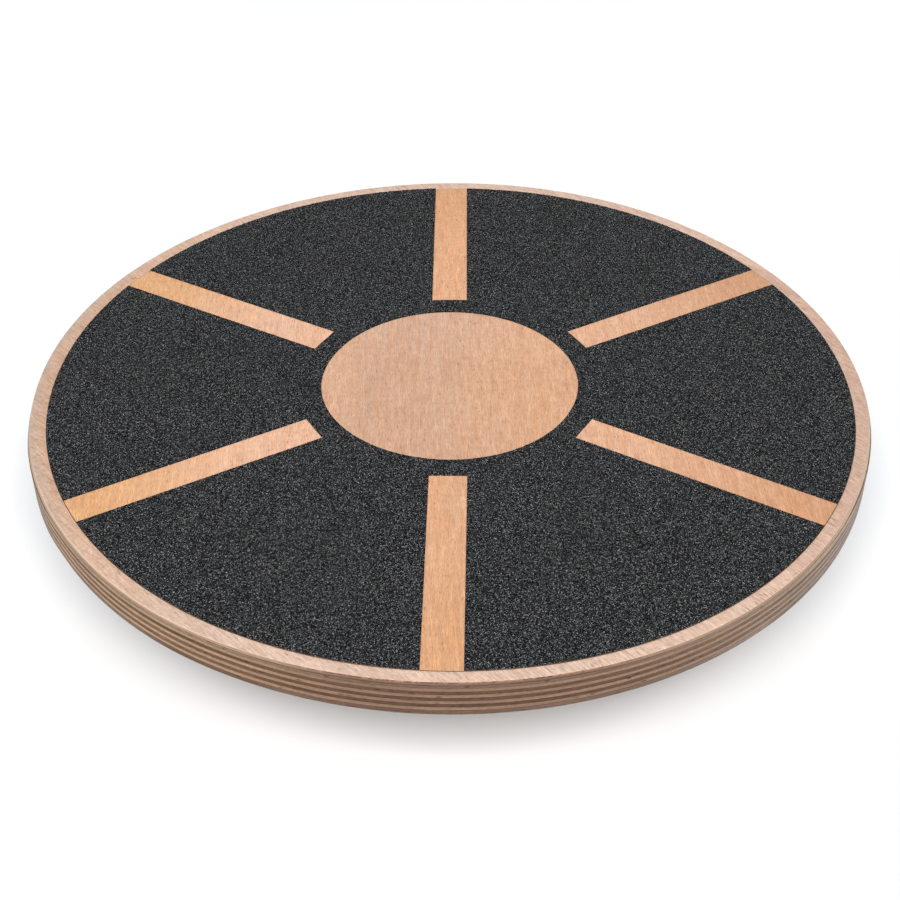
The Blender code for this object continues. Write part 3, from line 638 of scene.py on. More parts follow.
def deck_radius(h, top=TOP_ROUND):
    """The deck's radius at a height above its underside, with its rounded arrises."""
    h = np.asarray(h, float)
    up = np.clip(h - (THICKNESS - top), 0.0, top)
    down = np.clip(BOTTOM_ROUND - h, 0.0, BOTTOM_ROUND)
    r = DECK_RADIUS - top + np.sqrt(np.maximum(top ** 2 - up ** 2, 0.0))
    return r - (BOTTOM_ROUND - np.sqrt(np.maximum(BOTTOM_ROUND ** 2 - down ** 2, 0.0)))


def ring_angles(columns):
    return np.arange(columns) * TAU / columns


def wall_quads(rows, columns, first=0):
    """Quads of a closed wall of rows x columns points, facing outwards when the rows go up."""
    i, j = np.meshgrid(np.arange(rows - 1), np.arange(columns), indexing="ij")
    n = (j + 1) % columns
    return np.stack([i * columns + j, i * columns + n, (i + 1) * columns + n, (i + 1) * columns + j], -1).reshape(-1, 4) + first


def strip_uv(rows, columns, levels, blocks, bottom, height):
    """Texture places of such a wall, cut into blocks laid one above the other. Levels are the rows' places from 0 to 1."""
    i, j = np.meshgrid(np.arange(rows - 1), np.arange(columns), indexing="ij")
    per = columns // blocks
    block = j // per
    u0 = 0.004 + 0.992 * (j - block * per) / per
    u1 = 0.004 + 0.992 * (j - block * per + 1) / per
    tall = height / blocks
    levels = np.asarray(levels, float)
    v0 = bottom + tall * (block + 0.14 + 0.72 * levels[i])
    v1 = bottom + tall * (block + 0.14 + 0.72 * levels[i + 1])
    return np.stack([np.stack([u0, v0], -1), np.stack([u1, v0], -1), np.stack([u1, v1], -1), np.stack([u0, v1], -1)], -2).reshape(-1, 4, 2)


HOLE_SIDES = 24


def hole_points():
    a = np.arange(HOLE_SIDES) * TAU / HOLE_SIDES
    rings = []
    for azimuth in PILOT_AZIMUTHS:
        t = math.radians(azimuth)
        rings.append(np.stack([PILOT_CIRCLE * math.cos(t) + PILOT_RADIUS * np.cos(a), PILOT_CIRCLE * math.sin(t) + PILOT_RADIUS * np.sin(a)], -1))
    return rings


def cap_triangles(columns, holes):
    """Triangles of a round plate with or without its pilot holes, as indices into the rim's points and then the holes'."""
    a = ring_angles(columns)
    points = [np.stack([DECK_RADIUS * np.cos(a), DECK_RADIUS * np.sin(a)], -1)]
    loops = [list(range(columns))]
    if holes:
        for k, ring in enumerate(hole_points()):
            points.append(ring)
            start = columns + k * HOLE_SIDES
            loops.append(list(range(start, start + HOLE_SIDES)))
    flat = np.concatenate(points)
    result = delaunay_2d_cdt([Vector(p) for p in flat], [], loops, 2, 1e-6)
    source = [origin[0] for origin in result[3]]
    return np.array([[source[v] for v in face] for face in result[2]], np.int64)


CAPS = {True: cap_triangles(WALL_COLUMNS, True), False: cap_triangles(WALL_COLUMNS, False)}


def torn_places(rng, count, low, high, heights):
    """How deep small voids and torn fibres are sunk into a ply's edge, for each row and column."""
    depth = np.zeros((len(heights), WALL_COLUMNS))
    angles = ring_angles(WALL_COLUMNS)
    step = TAU * DECK_RADIUS / WALL_COLUMNS
    for _ in range(count):
        centre = rng.uniform(0.0, TAU)
        level = rng.uniform(low + 0.2, high - 0.2)
        half = rng.uniform(0.35, 1.1) if rng.uniform() < 0.75 else rng.uniform(1.1, 3.2)
        tall = rng.uniform(0.12, 0.34)
        deep = rng.uniform(0.12, 0.55)
        span = int(half / step) + 2
        index = (int(round(centre / TAU * WALL_COLUMNS)) + np.arange(-span, span + 1)) % WALL_COLUMNS
        along = ((angles[index] - centre + math.pi) % TAU - math.pi) * DECK_RADIUS
        shape = 1.0 - (along / half)[None, :] ** 2 - ((heights - level) / tall)[:, None] ** 2
        depth[:, index] = np.maximum(depth[:, index], deep * np.sqrt(np.clip(shape, 0.0, 1.0)))
    return depth


def plate(name, low, high, heights, radius, holes, finish, levels=None, top_first=False):
    """A closed round plate: an outer wall of rows x columns radii, two flat caps and the walls of its holes.

    With top_first its top gets most of the texture, else the top and the underside share the upper half.
    """
    rows = len(heights)
    a = ring_angles(WALL_COLUMNS)
    wall = np.stack([radius * np.cos(a)[None, :], radius * np.sin(a)[None, :], np.repeat(np.asarray(heights)[:, None] + DECK_BOTTOM, WALL_COLUMNS, 1)], -1).reshape(-1, 3)
    points = [wall]
    rings = hole_points() if holes else []
    count = len(wall)
    below, above = [], []
    for ring in rings:
        points.append(np.column_stack([ring, np.full(HOLE_SIDES, DECK_BOTTOM + low)]))
        below.append(count); count += HOLE_SIDES
    for ring in rings:
        points.append(np.column_stack([ring, np.full(HOLE_SIDES, DECK_BOTTOM + high)]))
        above.append(count); count += HOLE_SIDES
    triangles = CAPS[bool(holes)]
    outer_low = np.arange(WALL_COLUMNS)
    outer_high = outer_low + (rows - 1) * WALL_COLUMNS
    low_map = np.concatenate([outer_low] + [s + np.arange(HOLE_SIDES) for s in below])
    high_map = np.concatenate([outer_high] + [s + np.arange(HOLE_SIDES) for s in above])
    quads = [wall_quads(rows, WALL_COLUMNS)]
    quad_uv = [strip_uv(rows, WALL_COLUMNS, (np.asarray(heights) - heights[0]) / (heights[-1] - heights[0]) if levels is None else levels, 16, 0.004, 0.49)]
    for k in range(len(rings)):
        j = np.arange(HOLE_SIDES)
        n = (j + 1) % HOLE_SIDES
        quads.append(np.stack([below[k] + n, below[k] + j, above[k] + j, above[k] + n], -1))
        u0, u1 = 0.01 + 0.16 * k + 0.14 * j / HOLE_SIDES, 0.01 + 0.16 * k + 0.14 * (j + 1) / HOLE_SIDES
        v0, v1 = np.full(HOLE_SIDES, 0.497), np.full(HOLE_SIDES, 0.506)
        quad_uv.append(np.stack([np.stack([u1, v0], -1), np.stack([u0, v0], -1), np.stack([u0, v1], -1), np.stack([u1, v1], -1)], -2))
    everything = np.concatenate(points)
    low_faces = low_map[triangles][:, ::-1]
    high_faces = high_map[triangles]
    uv_low = np.stack([0.25 - 0.235 * everything[low_faces][..., 0] / DECK_RADIUS, 0.755 + 0.235 * everything[low_faces][..., 1] / DECK_RADIUS], -1)
    uv_high = np.stack([0.75 + 0.235 * everything[high_faces][..., 0] / DECK_RADIUS, 0.755 + 0.235 * everything[high_faces][..., 1] / DECK_RADIUS], -1)
    if top_first:
        quad_uv = [0.84 + 0.15 * strip_uv(rows, WALL_COLUMNS, (np.asarray(heights) - heights[0]) / (heights[-1] - heights[0]), 16, 0.0, 1.0)]
        uv_low = np.stack([0.075 - 0.06 * everything[low_faces][..., 0] / DECK_RADIUS, 0.075 + 0.06 * everything[low_faces][..., 1] / DECK_RADIUS], -1)
        uv_high = np.stack([0.5 + 0.485 * everything[high_faces][..., 0] / DECK_RADIUS, 0.5 + 0.485 * everything[high_faces][..., 1] / DECK_RADIUS], -1)
    item = mesh_object(name, everything, [np.concatenate(quads), low_faces, high_faces], [np.concatenate(quad_uv), uv_low, uv_high], sharp_degrees=38)
    item.data.materials.append(finish)
    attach(item, ROOT)
    return item


def smooth_ring(rng, terms, size):
    """A gentle random swing round the rim, the same at both ends of the circle."""
    a = ring_angles(WALL_COLUMNS)
    total = np.zeros(WALL_COLUMNS)
    for k in terms:
        total += math.sqrt(1.0 / k) * np.cos(k * a + rng.uniform(0, TAU))
    return size * total / max(abs(total).max(), 1e-9)


def smooth(value, low, high):
    t = np.clip((value - low) / (high - low), 0.0, 1.0)
    return t * t * (3.0 - 2.0 * t)


DEGREES = np.degrees(ring_angles(WALL_COLUMNS))
# at the left and right front the edge stands out further, below an arris that is sanded rounder
OUT_LEFT = 0.5 * smooth(DEGREES, 182.0, 200.0) * (1.0 - smooth(DEGREES, 228.0, 250.0))
OUT_LEFT = OUT_LEFT + 0.65 * smooth(DEGREES, 185.0, 197.0) * (1.0 - smooth(DEGREES, 206.0, 214.0))
OUT_RIGHT = smooth(DEGREES, 308.0, 326.0) * (1.0 - smooth(DEGREES, 346.0, 359.0))
OUTER = stray(OUTER_STRAY, ring_angles(WALL_COLUMNS)) + OUT_LEFT + 0.2 * OUT_RIGHT
ARRIS = TOP_ROUND + FRONT_ROUND * smooth(DEGREES, 232.0, 250.0) * (1.0 - smooth(DEGREES, 338.0, 354.0))
ARRIS = ARRIS + MORE_ROUND * smooth(DEGREES, 234.0, 258.0) * (1.0 - smooth(DEGREES, 276.0, 308.0))
ARRIS = ARRIS + OUT_LEFT + 0.6 * OUT_RIGHT + 0.6 * smooth(DEGREES, 325.0, 334.0) * (1.0 - smooth(DEGREES, 346.0, 357.0))
INNER = stray(GRIT_STRAY, ring_angles(WALL_COLUMNS))


def build_core():
    for number, (name, low, high, tone) in enumerate(CORE):
        rng = np.random.default_rng(4000 + number)
        heights = np.concatenate(([low], np.linspace(low + 0.05, high - 0.05, 8), [high]))
        depth = torn_places(rng, {"dark": 150, "darkest": 170, "grey": 60, "light": 34, "under": 50}[tone], low, high, heights)
        depth[0] = 0.0
        depth[-1] = 0.0
        ease = np.zeros(len(heights))
        ease[0] = ease[-1] = 0.05
        sanding = {"dark": 0.035, "darkest": 0.045, "grey": 0.02, "light": 0.0, "under": 0.0}[tone]
        swing = smooth_ring(rng, (7, 13, 29, 61, 97), 0.012) + 0.012
        radius = deck_radius(heights[:, None], ARRIS[None, :]) + OUTER[None, :] - ease[:, None] - sanding - swing[None, :] - depth
        finish = ply_finish(name, low, high, tone, number + 1)
        item = plate(name + "_edge", low, high, heights, radius, name not in ("core_ply_1", "core_ply_2"), finish)
        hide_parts(name)


def build_bottom_veneer():
    low, high = BOTTOM_VENEER
    turns = np.radians(np.linspace(0.0, 67.0, 8))
    heights = np.concatenate((BOTTOM_ROUND - BOTTOM_ROUND * np.cos(np.linspace(0.0, math.acos(1.0 - high / BOTTOM_ROUND), 9)),))
    heights[0], heights[-1] = low, high
    rng = np.random.default_rng(4100)
    depth = torn_places(rng, 60, low + 0.1, high - 0.1, heights) * 0.6
    depth[0] = depth[-1] = 0.0
    radius = deck_radius(heights)[:, None] + OUTER[None, :] - (smooth_ring(rng, (5, 11, 23, 47), 0.03) + 0.03)[None, :] - depth
    item = plate("bottom_veneer", low, high, heights, radius, True, bottom_finish())
    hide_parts("bottom_face_veneer")


def build_rim():
    """The ring of face veneer: a flat top, an eased outer arris that a hand has sanded, and a crisp inner edge."""
    low, high = RIM_VENEER
    rng = np.random.default_rng(4200)
    inside = [(RIM_INNER, low), (RIM_INNER, high - 0.10), (RIM_INNER + 0.035, high - 0.03), (RIM_INNER + 0.12, high)]
    inside += [(r, high) for r in np.linspace(RIM_INNER + 1.2, DECK_RADIUS - ARRIS.max() - 0.25, 5)]
    outside = [(DECK_RADIUS - 0.06, low), (DECK_RADIUS - 3.0, low), (RIM_INNER + 2.0, low)]
    # from the end of the flat to the lower edge of the veneer, which cuts a large rounding short
    last_turn = np.arccos(np.clip((ARRIS - (high - low - 0.03)) / ARRIS, 0.0, 1.0))
    turn = np.linspace(0.0, 1.0, 10)[:, None] * last_turn[None, :]
    r_bend = DECK_RADIUS - ARRIS + ARRIS * np.sin(turn)
    h_bend = high - ARRIS + ARRIS * np.cos(turn)
    a = ring_angles(WALL_COLUMNS)
    fixed = lambda pairs, k: np.repeat(np.array(pairs)[:, k:k + 1], WALL_COLUMNS, 1)
    foot = np.stack([r_bend[-1] - 0.02, h_bend[-1] * 0.0 + low + 0.03])
    r = np.concatenate([fixed(inside, 0), r_bend, foot[:1], fixed(outside, 0)])
    h = np.concatenate([fixed(inside, 1), h_bend, foot[1:], fixed(outside, 1)])
    under = len(inside) + len(r_bend) + 1
    r[under] = r_bend[-1] - 0.06
    profile = np.stack([r[:, 0], h[:, 0]], -1)
    outwards = np.clip((r - RIM_INNER) / (DECK_RADIUS - 1.5 - RIM_INNER), 0.0, 1.0)
    # the arris wanders by a tenth of a millimetre, with a few small chips
    wander = smooth_ring(rng, (4, 9, 17, 31, 57, 83), 0.05) + 0.05
    outer = np.clip((r - (DECK_RADIUS - 1.0)) / 1.0, 0.0, 1.0) * np.clip((h - low) / 0.25, 0.0, 1.0)
    r = r - outer * wander[None, :]
    for _ in range(46):
        centre, half, deep = rng.uniform(0.0, TAU), rng.uniform(0.3, 1.6), rng.uniform(0.05, 0.22)
        along = ((a - centre + math.pi) % TAU - math.pi) * DECK_RADIUS
        dent = deep * np.sqrt(np.clip(1.0 - (along / half) ** 2, 0.0, 1.0))
        r = r - outer * dent[None, :] * np.clip(1.0 - np.abs(h - (high - 0.35)) / 0.35, 0.0, 1.0)
    r = r + outwards * OUTER[None, :] + (1.0 - outwards) * INNER[None, :]
    points = np.stack([r * np.cos(a)[None, :], r * np.sin(a)[None, :], h + DECK_BOTTOM], -1).reshape(-1, 3)
    rows = len(profile)
    # the profile runs up the inner wall, out over the top and back below, so its wall is turned inside out
    quads = wall_quads(rows, WALL_COLUMNS)
    last = wall_quads(2, WALL_COLUMNS)
    last = np.where(last >= WALL_COLUMNS, last - WALL_COLUMNS, last + (rows - 1) * WALL_COLUMNS)
    run = np.concatenate(([0.0], np.cumsum(np.hypot(*np.diff(profile, axis=0).T))))
    total = run[-1] + 2.0
    uv = strip_uv(rows, WALL_COLUMNS, run / total, 8, 0.0, 1.0)
    uv_last = strip_uv(2, WALL_COLUMNS, [run[-1] / total, 1.0], 8, 0.0, 1.0)
    faces = np.concatenate([quads, last])[:, ::-1]
    uv = np.concatenate([uv, uv_last])[:, ::-1]
    item = mesh_object("rim_veneer", points, [faces], [uv], sharp_degrees=50)
    item.data.materials.append(rim_finish())
    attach(item, ROOT)
    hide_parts("rim_face_veneer")


def build_disc():
    """The veneer disc inside the rim, with softened edges."""
    low, high = RIM_VENEER
    heights = [low, low + 0.03, high - 0.10, high - 0.03, high]
    ease = np.array([0.03, 0.0, 0.0, 0.03, 0.10])
    radius = DISC_RADIUS + INNER[None, :] - ease[:, None]
    item = plate("pattern_disc", low, high, heights, radius, False, inlay_finish(), top_first=True)
    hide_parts("pattern_veneer_disc")


def build_glue():
    """Ten thin rings of glue, one in each joint of the layup, a little below the sanded edge."""
    tops = [BOTTOM_VENEER[1]] + [layer[2] for layer in CORE]
    columns = 720
    a = ring_angles(columns)
    strays = np.interp(a, ring_angles(WALL_COLUMNS), OUTER, period=TAU)
    points, faces, uv = [], [], []
    for number, low in enumerate(tops):
        z0, z1 = low + 0.008, low + 0.092
        outer = float(deck_radius((z0 + z1) / 2.0)) - 0.085
        square = [(outer, z0), (outer, z1), (outer - 2.2, z1), (outer - 2.2, z0)]
        ring = np.stack([np.stack([(r + strays) * np.cos(a), (r + strays) * np.sin(a), np.full(columns, z + DECK_BOTTOM)], -1) for r, z in square])
        start = number * 4 * columns
        quads = wall_quads(4, columns, start)
        last = wall_quads(2, columns)
        last = np.where(last >= columns, last - columns, last + 3 * columns) + start
        points.append(ring.reshape(-1, 3))
        faces.append(np.concatenate([quads, last]))
        tall = 1.0 / len(tops)
        uv.append(np.concatenate([strip_uv(4, columns, [0.0, 0.3, 0.6, 0.8], 4, number * tall, tall), strip_uv(2, columns, [0.8, 1.0], 4, number * tall, tall)]))
    item = mesh_object("glue_lines", np.concatenate(points), [np.concatenate(faces)], [np.concatenate(uv)], sharp_degrees=40)
    item.data.materials.append(glue_finish())
    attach(item, ROOT)


# ------------------------------------------------------------------ the grit sheet
def hashed(i, j, salt):
    """A number from 0 to 1 for each pair of whole numbers, the same in each run."""
    n = (i.astype(np.int64) * 73856093) ^ (j.astype(np.int64) * 19349663) ^ np.int64(salt * 83492791)
    n = n & 0xFFFFFFFF
    n = ((n ^ (n >> 15)) * 2246822519) & 0xFFFFFFFF
    n = ((n ^ (n >> 13)) * 3266489917) & 0xFFFFFFFF
    n = n ^ (n >> 16)
    return n / 4294967296.0


GRAIN_CELL = 0.92


def grain_height(x, y):
    """Height of the grit above its film at a point: angular grains of different size, each with a tilted top."""
    ci, cj = np.floor(x / GRAIN_CELL), np.floor(y / GRAIN_CELL)
    height = 0.028 * hashed(np.floor(x / 0.31), np.floor(y / 0.31), 9)
    for di in (-1, 0, 1):
        for dj in (-1, 0, 1):
            i, j = ci + di, cj + dj
            gx = (i + 0.12 + 0.76 * hashed(i, j, 1)) * GRAIN_CELL
            gy = (j + 0.12 + 0.76 * hashed(i, j, 2)) * GRAIN_CELL
            size = 0.30 + 0.32 * hashed(i, j, 3) ** 1.4
            tall = 0.10 + 0.24 * hashed(i, j, 4)
            turn = TAU * hashed(i, j, 5)
            dx, dy = x - gx, y - gy
            u = dx * np.cos(turn) + dy * np.sin(turn)
            v = (dy * np.cos(turn) - dx * np.sin(turn)) * (1.0 + 0.6 * hashed(i, j, 6))
            reach = np.maximum(np.abs(u), np.abs(v)) * 0.6 + 0.4 * np.hypot(u, v)
            side = np.clip((size - reach) / (0.45 * size), 0.0, 1.0)
            tilt = 1.0 + 0.55 * (hashed(i, j, 7) - 0.5) * u / size + 0.55 * (hashed(i, j, 8) - 0.5) * v / size
            there = hashed(i, j, 10) < 0.93
            height = np.maximum(height, np.where(there, tall * side * tilt, 0.0))
    return np.minimum(height, GRIT_TOP - GRIT_FILM)


def sector_rows(bar, following, spacing):
    """Points of one sixth of the sheet, between two bars' axes, as rows of (radii, angles) from the window to the rim."""
    start, end = math.radians(bar[0]), math.radians(following[0])
    if end < start:
        end += TAU
    step = spacing * 0.9
    corner = math.hypot(BAR_START, 8.5)
    inner = np.linspace(WINDOW_RADIUS, BAR_START, int(round((BAR_START - WINDOW_RADIUS) / step)) + 1)
    outer = np.linspace(corner, DISC_RADIUS, int(round((DISC_RADIUS - corner) / step)) + 1)
    rows = []
    for level in np.concatenate([inner, outer]):
        # the bars start at their own radii, the window and the rim stray from their circles
        near_start = np.interp(level, (WINDOW_RADIUS, BAR_START, corner, 100.0), (0.0, 1.0, 1.0, 0.0))
        near_window = np.interp(level, (WINDOW_RADIUS, BAR_START), (1.0, 0.0))
        near_rim = np.interp(level, (120.0, DISC_RADIUS), (0.0, 1.0))
        low, high = start, end
        if level > BAR_START + 1e-9:
            low = start + math.asin((bar[1] + bar[2] / 2.0) / (level + near_start * (bar[3] - BAR_START)))
            high = end + math.asin((following[1] - following[2] / 2.0) / (level + near_start * (following[3] - BAR_START)))
        count = max(2, int(round((high - low) * level / spacing)) + 1)
        angles = np.linspace(low, high, count)
        share = (angles - start) / (end - start)
        radii = level + near_start * ((bar[3] - BAR_START) * (1.0 - share) + (following[3] - BAR_START) * share)
        radii = radii + near_window * stray(WINDOW_STRAY, angles) + near_rim * stray(GRIT_STRAY, angles)
        rows.append((level, radii, angles))
    return rows


def zipper(lower, upper, first_lower, first_upper):
    """Triangles between two rows of points ordered by angle."""
    nl, nu = len(lower), len(upper)
    middle_l = (lower[:-1] + lower[1:]) / 2.0
    middle_u = (upper[:-1] + upper[1:]) / 2.0
    apex_u = np.searchsorted(middle_u, middle_l, side="left")
    apex_l = np.searchsorted(middle_l, middle_u, side="right")
    i = np.arange(nl - 1)
    down = np.stack([first_lower + i + 1, first_lower + i, first_upper + apex_u], -1)
    j = np.arange(nu - 1)
    up = np.stack([first_upper + j, first_upper + j + 1, first_lower + apex_l], -1)
    return np.concatenate([down, up])


def build_grit():
    finish = grit_finish()
    spacing = 0.45
    first_piece = None
    for k in range(6):
        rows = sector_rows(BAR_WINDOWS[k], BAR_WINDOWS[(k + 1) % 6], spacing)
        rng = np.random.default_rng(5000 + k)
        xs, ys, firsts, count = [], [], [], 0
        for number, (level, r, angles) in enumerate(rows):
            n = len(angles)
            jitter_a = rng.uniform(-0.14, 0.14, n) / r
            jitter_r = rng.uniform(-0.14, 0.14, n)
            if number in (0, len(rows) - 1) or n < 3 or abs(level - BAR_START) < 0.6:
                jitter_a[:] = 0.0
                jitter_r[:] = 0.0
            jitter_a[[0, -1]] = 0.0
            jitter_r[[0, -1]] = 0.0
            rr, aa = r + jitter_r, angles + jitter_a
            xs.append(rr * np.cos(aa))
            ys.append(rr * np.sin(aa))
            firsts.append(count)
            count += n
        x, y = np.concatenate(xs), np.concatenate(ys)
        top = np.column_stack([x, y, GRIT_FILM + 0.72 * grain_height(x, y)])
        triangles = np.concatenate([zipper(rows[i][2], rows[i + 1][2], firsts[i], firsts[i + 1]) for i in range(len(rows) - 1)])
        # the outline, counter-clockwise seen from above
        firsts = np.array(firsts)
        lengths = np.array([len(row[2]) for row in rows])
        ends = firsts + lengths - 1
        inner_arc = np.arange(firsts[0], ends[0])[::-1] + 0
        outer_arc = np.arange(firsts[-1], ends[-1] + 1)
        loop = np.concatenate([firsts[:-1], outer_arc, ends[:-1][::-1], inner_arc[:-1] if len(inner_arc) > 1 else []]).astype(np.int64)
        # firsts go outwards along the start side, then the outer arc, then the end side inwards, then the window's arc back
        base = np.column_stack([x[loop], y[loop], np.full(len(loop), GRIT_BOTTOM)])
        base_index = count + np.arange(len(loop))
        following = np.roll(np.arange(len(loop)), -1)
        skirt = np.stack([loop, base_index, base_index[following], loop[following]], -1)
        centre = Vector(((x.max() + x.min()) / 2, (y.max() + y.min()) / 2))
        extent = max(x.max() - x.min(), y.max() - y.min()) * 1.08
        ux, uy = (x - centre.x) / extent + 0.5, (y - centre.y) / extent + 0.5
        uv_top = np.stack([ux[triangles], uy[triangles]], -1)
        bx, by = ux[loop], uy[loop]
        # the skirts lie just outside the outline, so their outer edge is pushed a little away from it
        nx, ny = np.roll(by, -1) - np.roll(by, 1), -(np.roll(bx, -1) - np.roll(bx, 1))
        size = np.maximum(np.hypot(nx, ny), 1e-9)
        ox, oy = bx + 0.006 * nx / size, by + 0.006 * ny / size
        uv_skirt = np.stack([np.stack([bx, by], -1), np.stack([ox, oy], -1), np.stack([ox[following], oy[following]], -1), np.stack([bx[following], by[following]], -1)], -2)
        points = np.concatenate([top, base])
        bottom = base_index[::-1][None, :]
        uv_bottom = np.stack([0.02 + 0.06 * bx, 0.02 + 0.06 * by], -1)[::-1][None, :]
        item = mesh_object("grit_sheet_%d" % (k + 1), points, [triangles, skirt, bottom], [uv_top, uv_skirt, uv_bottom], smooth=True)
        # a crisp cut edge all round
        mesh = item.data
        edges = np.zeros(len(mesh.edges) * 2, np.int32)
        mesh.edges.foreach_get("vertices", edges)
        edges = np.sort(edges.reshape(-1, 2), 1).astype(np.int64)
        span = len(points) + 1
        keys = edges[:, 0] * span + edges[:, 1]
        wanted = []
        for ring in (loop, base_index):
            pair = np.sort(np.stack([ring, ring[following]], -1), 1)
            wanted.append(pair[:, 0] * span + pair[:, 1])
        sharp = np.isin(keys, np.concatenate(wanted))
        attribute = mesh.attributes.get("sharp_edge") or mesh.attributes.new("sharp_edge", "BOOLEAN", "EDGE")
        attribute.data.foreach_set("value", sharp)
        mesh.materials.append(finish)
        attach(item, ROOT)
        if first_piece is None:
            first_piece = item
            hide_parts("grip_sheet")
        print(item.name, len(mesh.polygons), "faces", "top", round(float(points[:, 2].max()), 3))


# ------------------------------------------------------------------ CAD solids that keep their shape
def even_normals(item, degrees):
    """Shades a faceted CAD solid as the round shape it stands for. Its own mesh isn't touched."""
    group = bpy.data.node_groups.get("even_normals_%d" % degrees)
    if group is None:
        group = bpy.data.node_groups.new("even_normals_%d" % degrees, "GeometryNodeTree")
        group.interface.new_socket("Geometry", in_out="INPUT", socket_type="NodeSocketGeometry")
        group.interface.new_socket("Geometry", in_out="OUTPUT", socket_type="NodeSocketGeometry")
        nodes, links = group.nodes, group.links
        source, target = nodes.new("NodeGroupInput"), nodes.new("NodeGroupOutput")
        merge = nodes.new("GeometryNodeMergeByDistance")
        merge.inputs["Distance"].default_value = 0.000004
        normal = nodes.new("GeometryNodeSetMeshNormal")
        normal.mode = "SHARPNESS"
        edge = nodes.new("GeometryNodeInputMeshEdgeAngle")
        compare = nodes.new("FunctionNodeCompare")
        compare.data_type = "FLOAT"
        compare.operation = "GREATER_THAN"
        compare.inputs[1].default_value = math.radians(degrees)
        links.new(source.outputs[0], merge.inputs["Geometry"])
        links.new(edge.outputs[0], compare.inputs[0])
        links.new(merge.outputs[0], normal.inputs["Mesh"])
        for socket in normal.inputs:
            if "sharpness" in socket.name.lower() and "edge" in socket.name.lower():
                links.new(compare.outputs[0], socket)
        links.new(normal.outputs[0], target.inputs[0])
    modifier = item.modifiers.new("even_normals", "NODES")
    modifier.node_group = group


def keep_node(name, finish, degrees=None):
    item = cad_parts[name]
    item.data.materials.clear()
    item.data.materials.append(finish)
    if degrees:
        even_normals(item, degrees)


build_core()
build_bottom_veneer()
build_rim()
build_glue()
build_grit()
build_disc()
keep_node("dome_shell", plastic_finish(), 34)
keep_node("dome_pad", rubber_finish(), 34)
zinc = zinc_finish()
for number in range(1, 7):
    keep_node("dome_screw_%d" % number, zinc, 42)


# ------------------------------------------------------------------ floor, light and camera
def floor_finish():
    f = Finish("floor_finish", roughness=0.85, specular=0.15)
    tone = f.noise(f.sized(f.mm, 900.0, 900.0, 900.0), detail=2.0)
    # painted light: the floor is made greyer in front, where the soft box is nearest, and paler far off, so that its
    # open parts come out evenly white
    far = f.math("ADD", f.remap(f.y, -300.0, -60.0, 0.723, 0.793, smooth=False), f.remap(f.y, -60.0, 650.0, 0.0, 0.147, smooth=False))
    # painted light: paler beside the front of the deck, which thins the shadow at its sides
    beside = f.math("MULTIPLY", f.remap(f.math("ABSOLUTE", f.x), 150.0, 215.0), f.remap(f.y, -190.0, -110.0))
    far = f.math("ADD", far, f.math("MULTIPLY", beside, 0.022))
    colour = f.times((0.985, 1.0, 1.01), f.math("ADD", far, f.math("MULTIPLY", f.math("SUBTRACT", tone, 0.5), 0.03)))
    # painted shadow: the floor is darker and cooler under the front of the deck, round a point 75 mm behind its centre,
    # with a fainter cool fringe round that
    back = f.math("ADD", f.y, -75.0)
    reach = f.math("SQRT", f.math("ADD", f.math("MULTIPLY", f.x, f.x), f.math("MULTIPLY", back, back)))
    front = f.remap(f.y, 0.0, 90.0, 1.0, 0.0)
    shadow_tone = f.mix(f.remap(f.math("ABSOLUTE", f.x), 110.0, 180.0), (0.85, 0.86, 0.875), (0.92, 0.93, 0.94))
    under = f.math("MULTIPLY", f.remap(reach, 203.5, 221.5, 1.0, 0.0), front)
    shadow_fringe = f.math("MULTIPLY", f.remap(reach, 217.5, 247.5, 1.0, 0.0), front)
    colour = f.vector("MULTIPLY", colour, f.mix(under, (1.0, 1.0, 1.0), shadow_tone))
    colour = f.vector("MULTIPLY", colour, f.mix(shadow_fringe, (1.0, 1.0, 1.0), (0.962, 0.98, 0.998)))
    return f.finish(colour)


def build_stage():
    # a round floor, wide enough for a level horizon
    corners = [(40.0 * math.cos(TAU * k / 96), 40.0 * math.sin(TAU * k / 96), -0.0001) for k in range(96)]
    mesh = bpy.data.meshes.new("floor")
    mesh.from_pydata(corners, [], [tuple(range(96))])
    floor = bpy.data.objects.new("floor", mesh)
    mesh.materials.append(floor_finish())
    bpy.context.scene.collection.objects.link(floor)


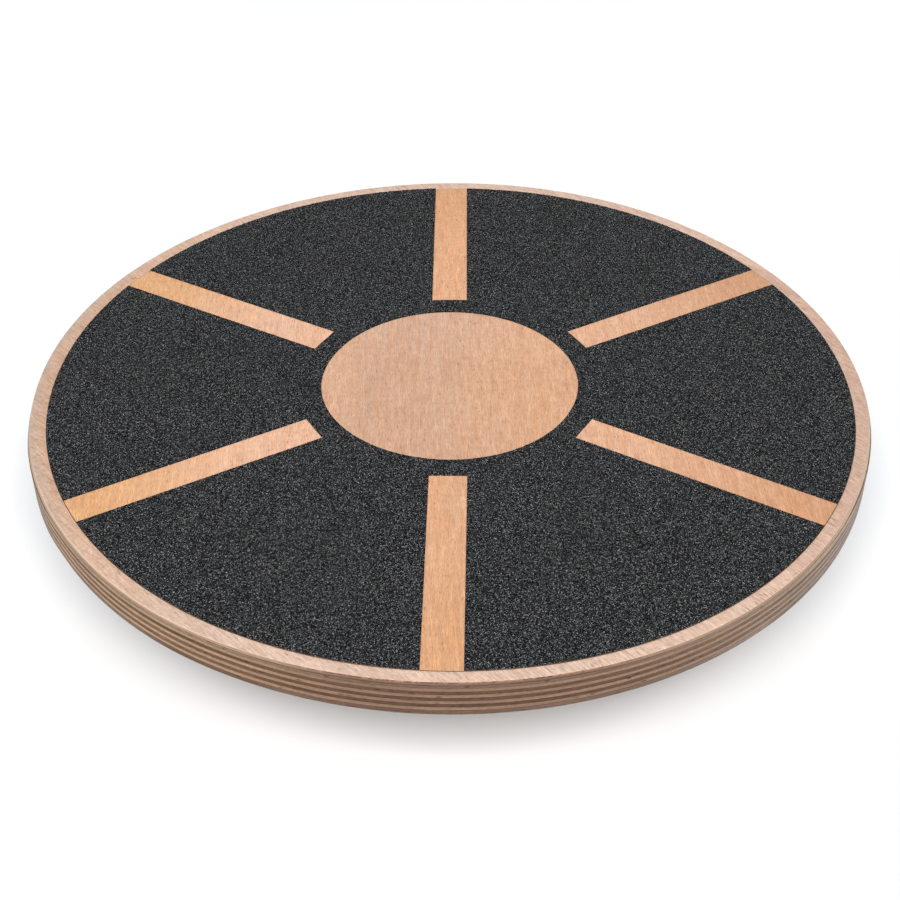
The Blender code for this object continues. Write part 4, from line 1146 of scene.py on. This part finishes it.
def soft_light(name, azimuth, elevation, distance, width, height, watts, colour=(1.0, 1.0, 1.0)):
    """A soft box that faces the board from a direction: azimuth from +X, counter-clockwise."""
    data = bpy.data.lights.new(name, "AREA")
    data.shape = "RECTANGLE"
    data.size, data.size_y = width, height
    data.energy = watts
    data.color = colour
    item = bpy.data.objects.new(name, data)
    a, e = math.radians(azimuth), math.radians(elevation)
    item.location = (distance * math.cos(e) * math.cos(a), distance * math.cos(e) * math.sin(a), distance * math.sin(e) + 0.05)
    item.rotation_euler = (Vector((0, 0, 0.05)) - Vector(item.location)).to_track_quat("-Z", "Y").to_euler()
    bpy.context.scene.collection.objects.link(item)
    return item


def build_light():
    world = bpy.data.worlds.new("studio")
    bpy.context.scene.world = world
    world.use_nodes = True
    tree = world.node_tree
    tree.nodes.clear()
    output = tree.nodes.new("ShaderNodeOutputWorld")
    background = tree.nodes.new("ShaderNodeBackground")
    place = tree.nodes.new("ShaderNodeTexCoord")
    split = tree.nodes.new("ShaderNodeSeparateXYZ")
    ramp = tree.nodes.new("ShaderNodeMapRange")
    ramp.interpolation_type = "SMOOTHSTEP"
    ramp.inputs["From Min"].default_value = 0.10
    ramp.inputs["From Max"].default_value = 0.45
    ramp.inputs["To Min"].default_value = 0.58
    ramp.inputs["To Max"].default_value = 0.34
    tree.links.new(place.outputs["Generated"], split.inputs[0])
    tree.links.new(split.outputs[2], ramp.inputs["Value"])
    tree.links.new(ramp.outputs["Result"], background.inputs["Strength"])
    tree.links.new(background.outputs[0], output.inputs[0])
    soft_light("key_front", 269.5, 50.0, 5.0, 3.7, 2.15, 368.0)


def build_camera():
    data = bpy.data.cameras.new("camera")
    data.sensor_width = 36.0
    data.lens = 61.789
    data.clip_start = 0.01
    item = bpy.data.objects.new("camera", data)
    item.location = (-0.00145, -0.60327, 0.51076)
    item.rotation_euler = (math.radians(51.791), 0.0, math.radians(-0.089))
    bpy.context.scene.collection.objects.link(item)
    bpy.context.scene.camera = item


build_stage()
build_light()
build_camera()
bpy.context.scene.view_settings.view_transform = "Standard"
bpy.context.scene.view_settings.look = "None"
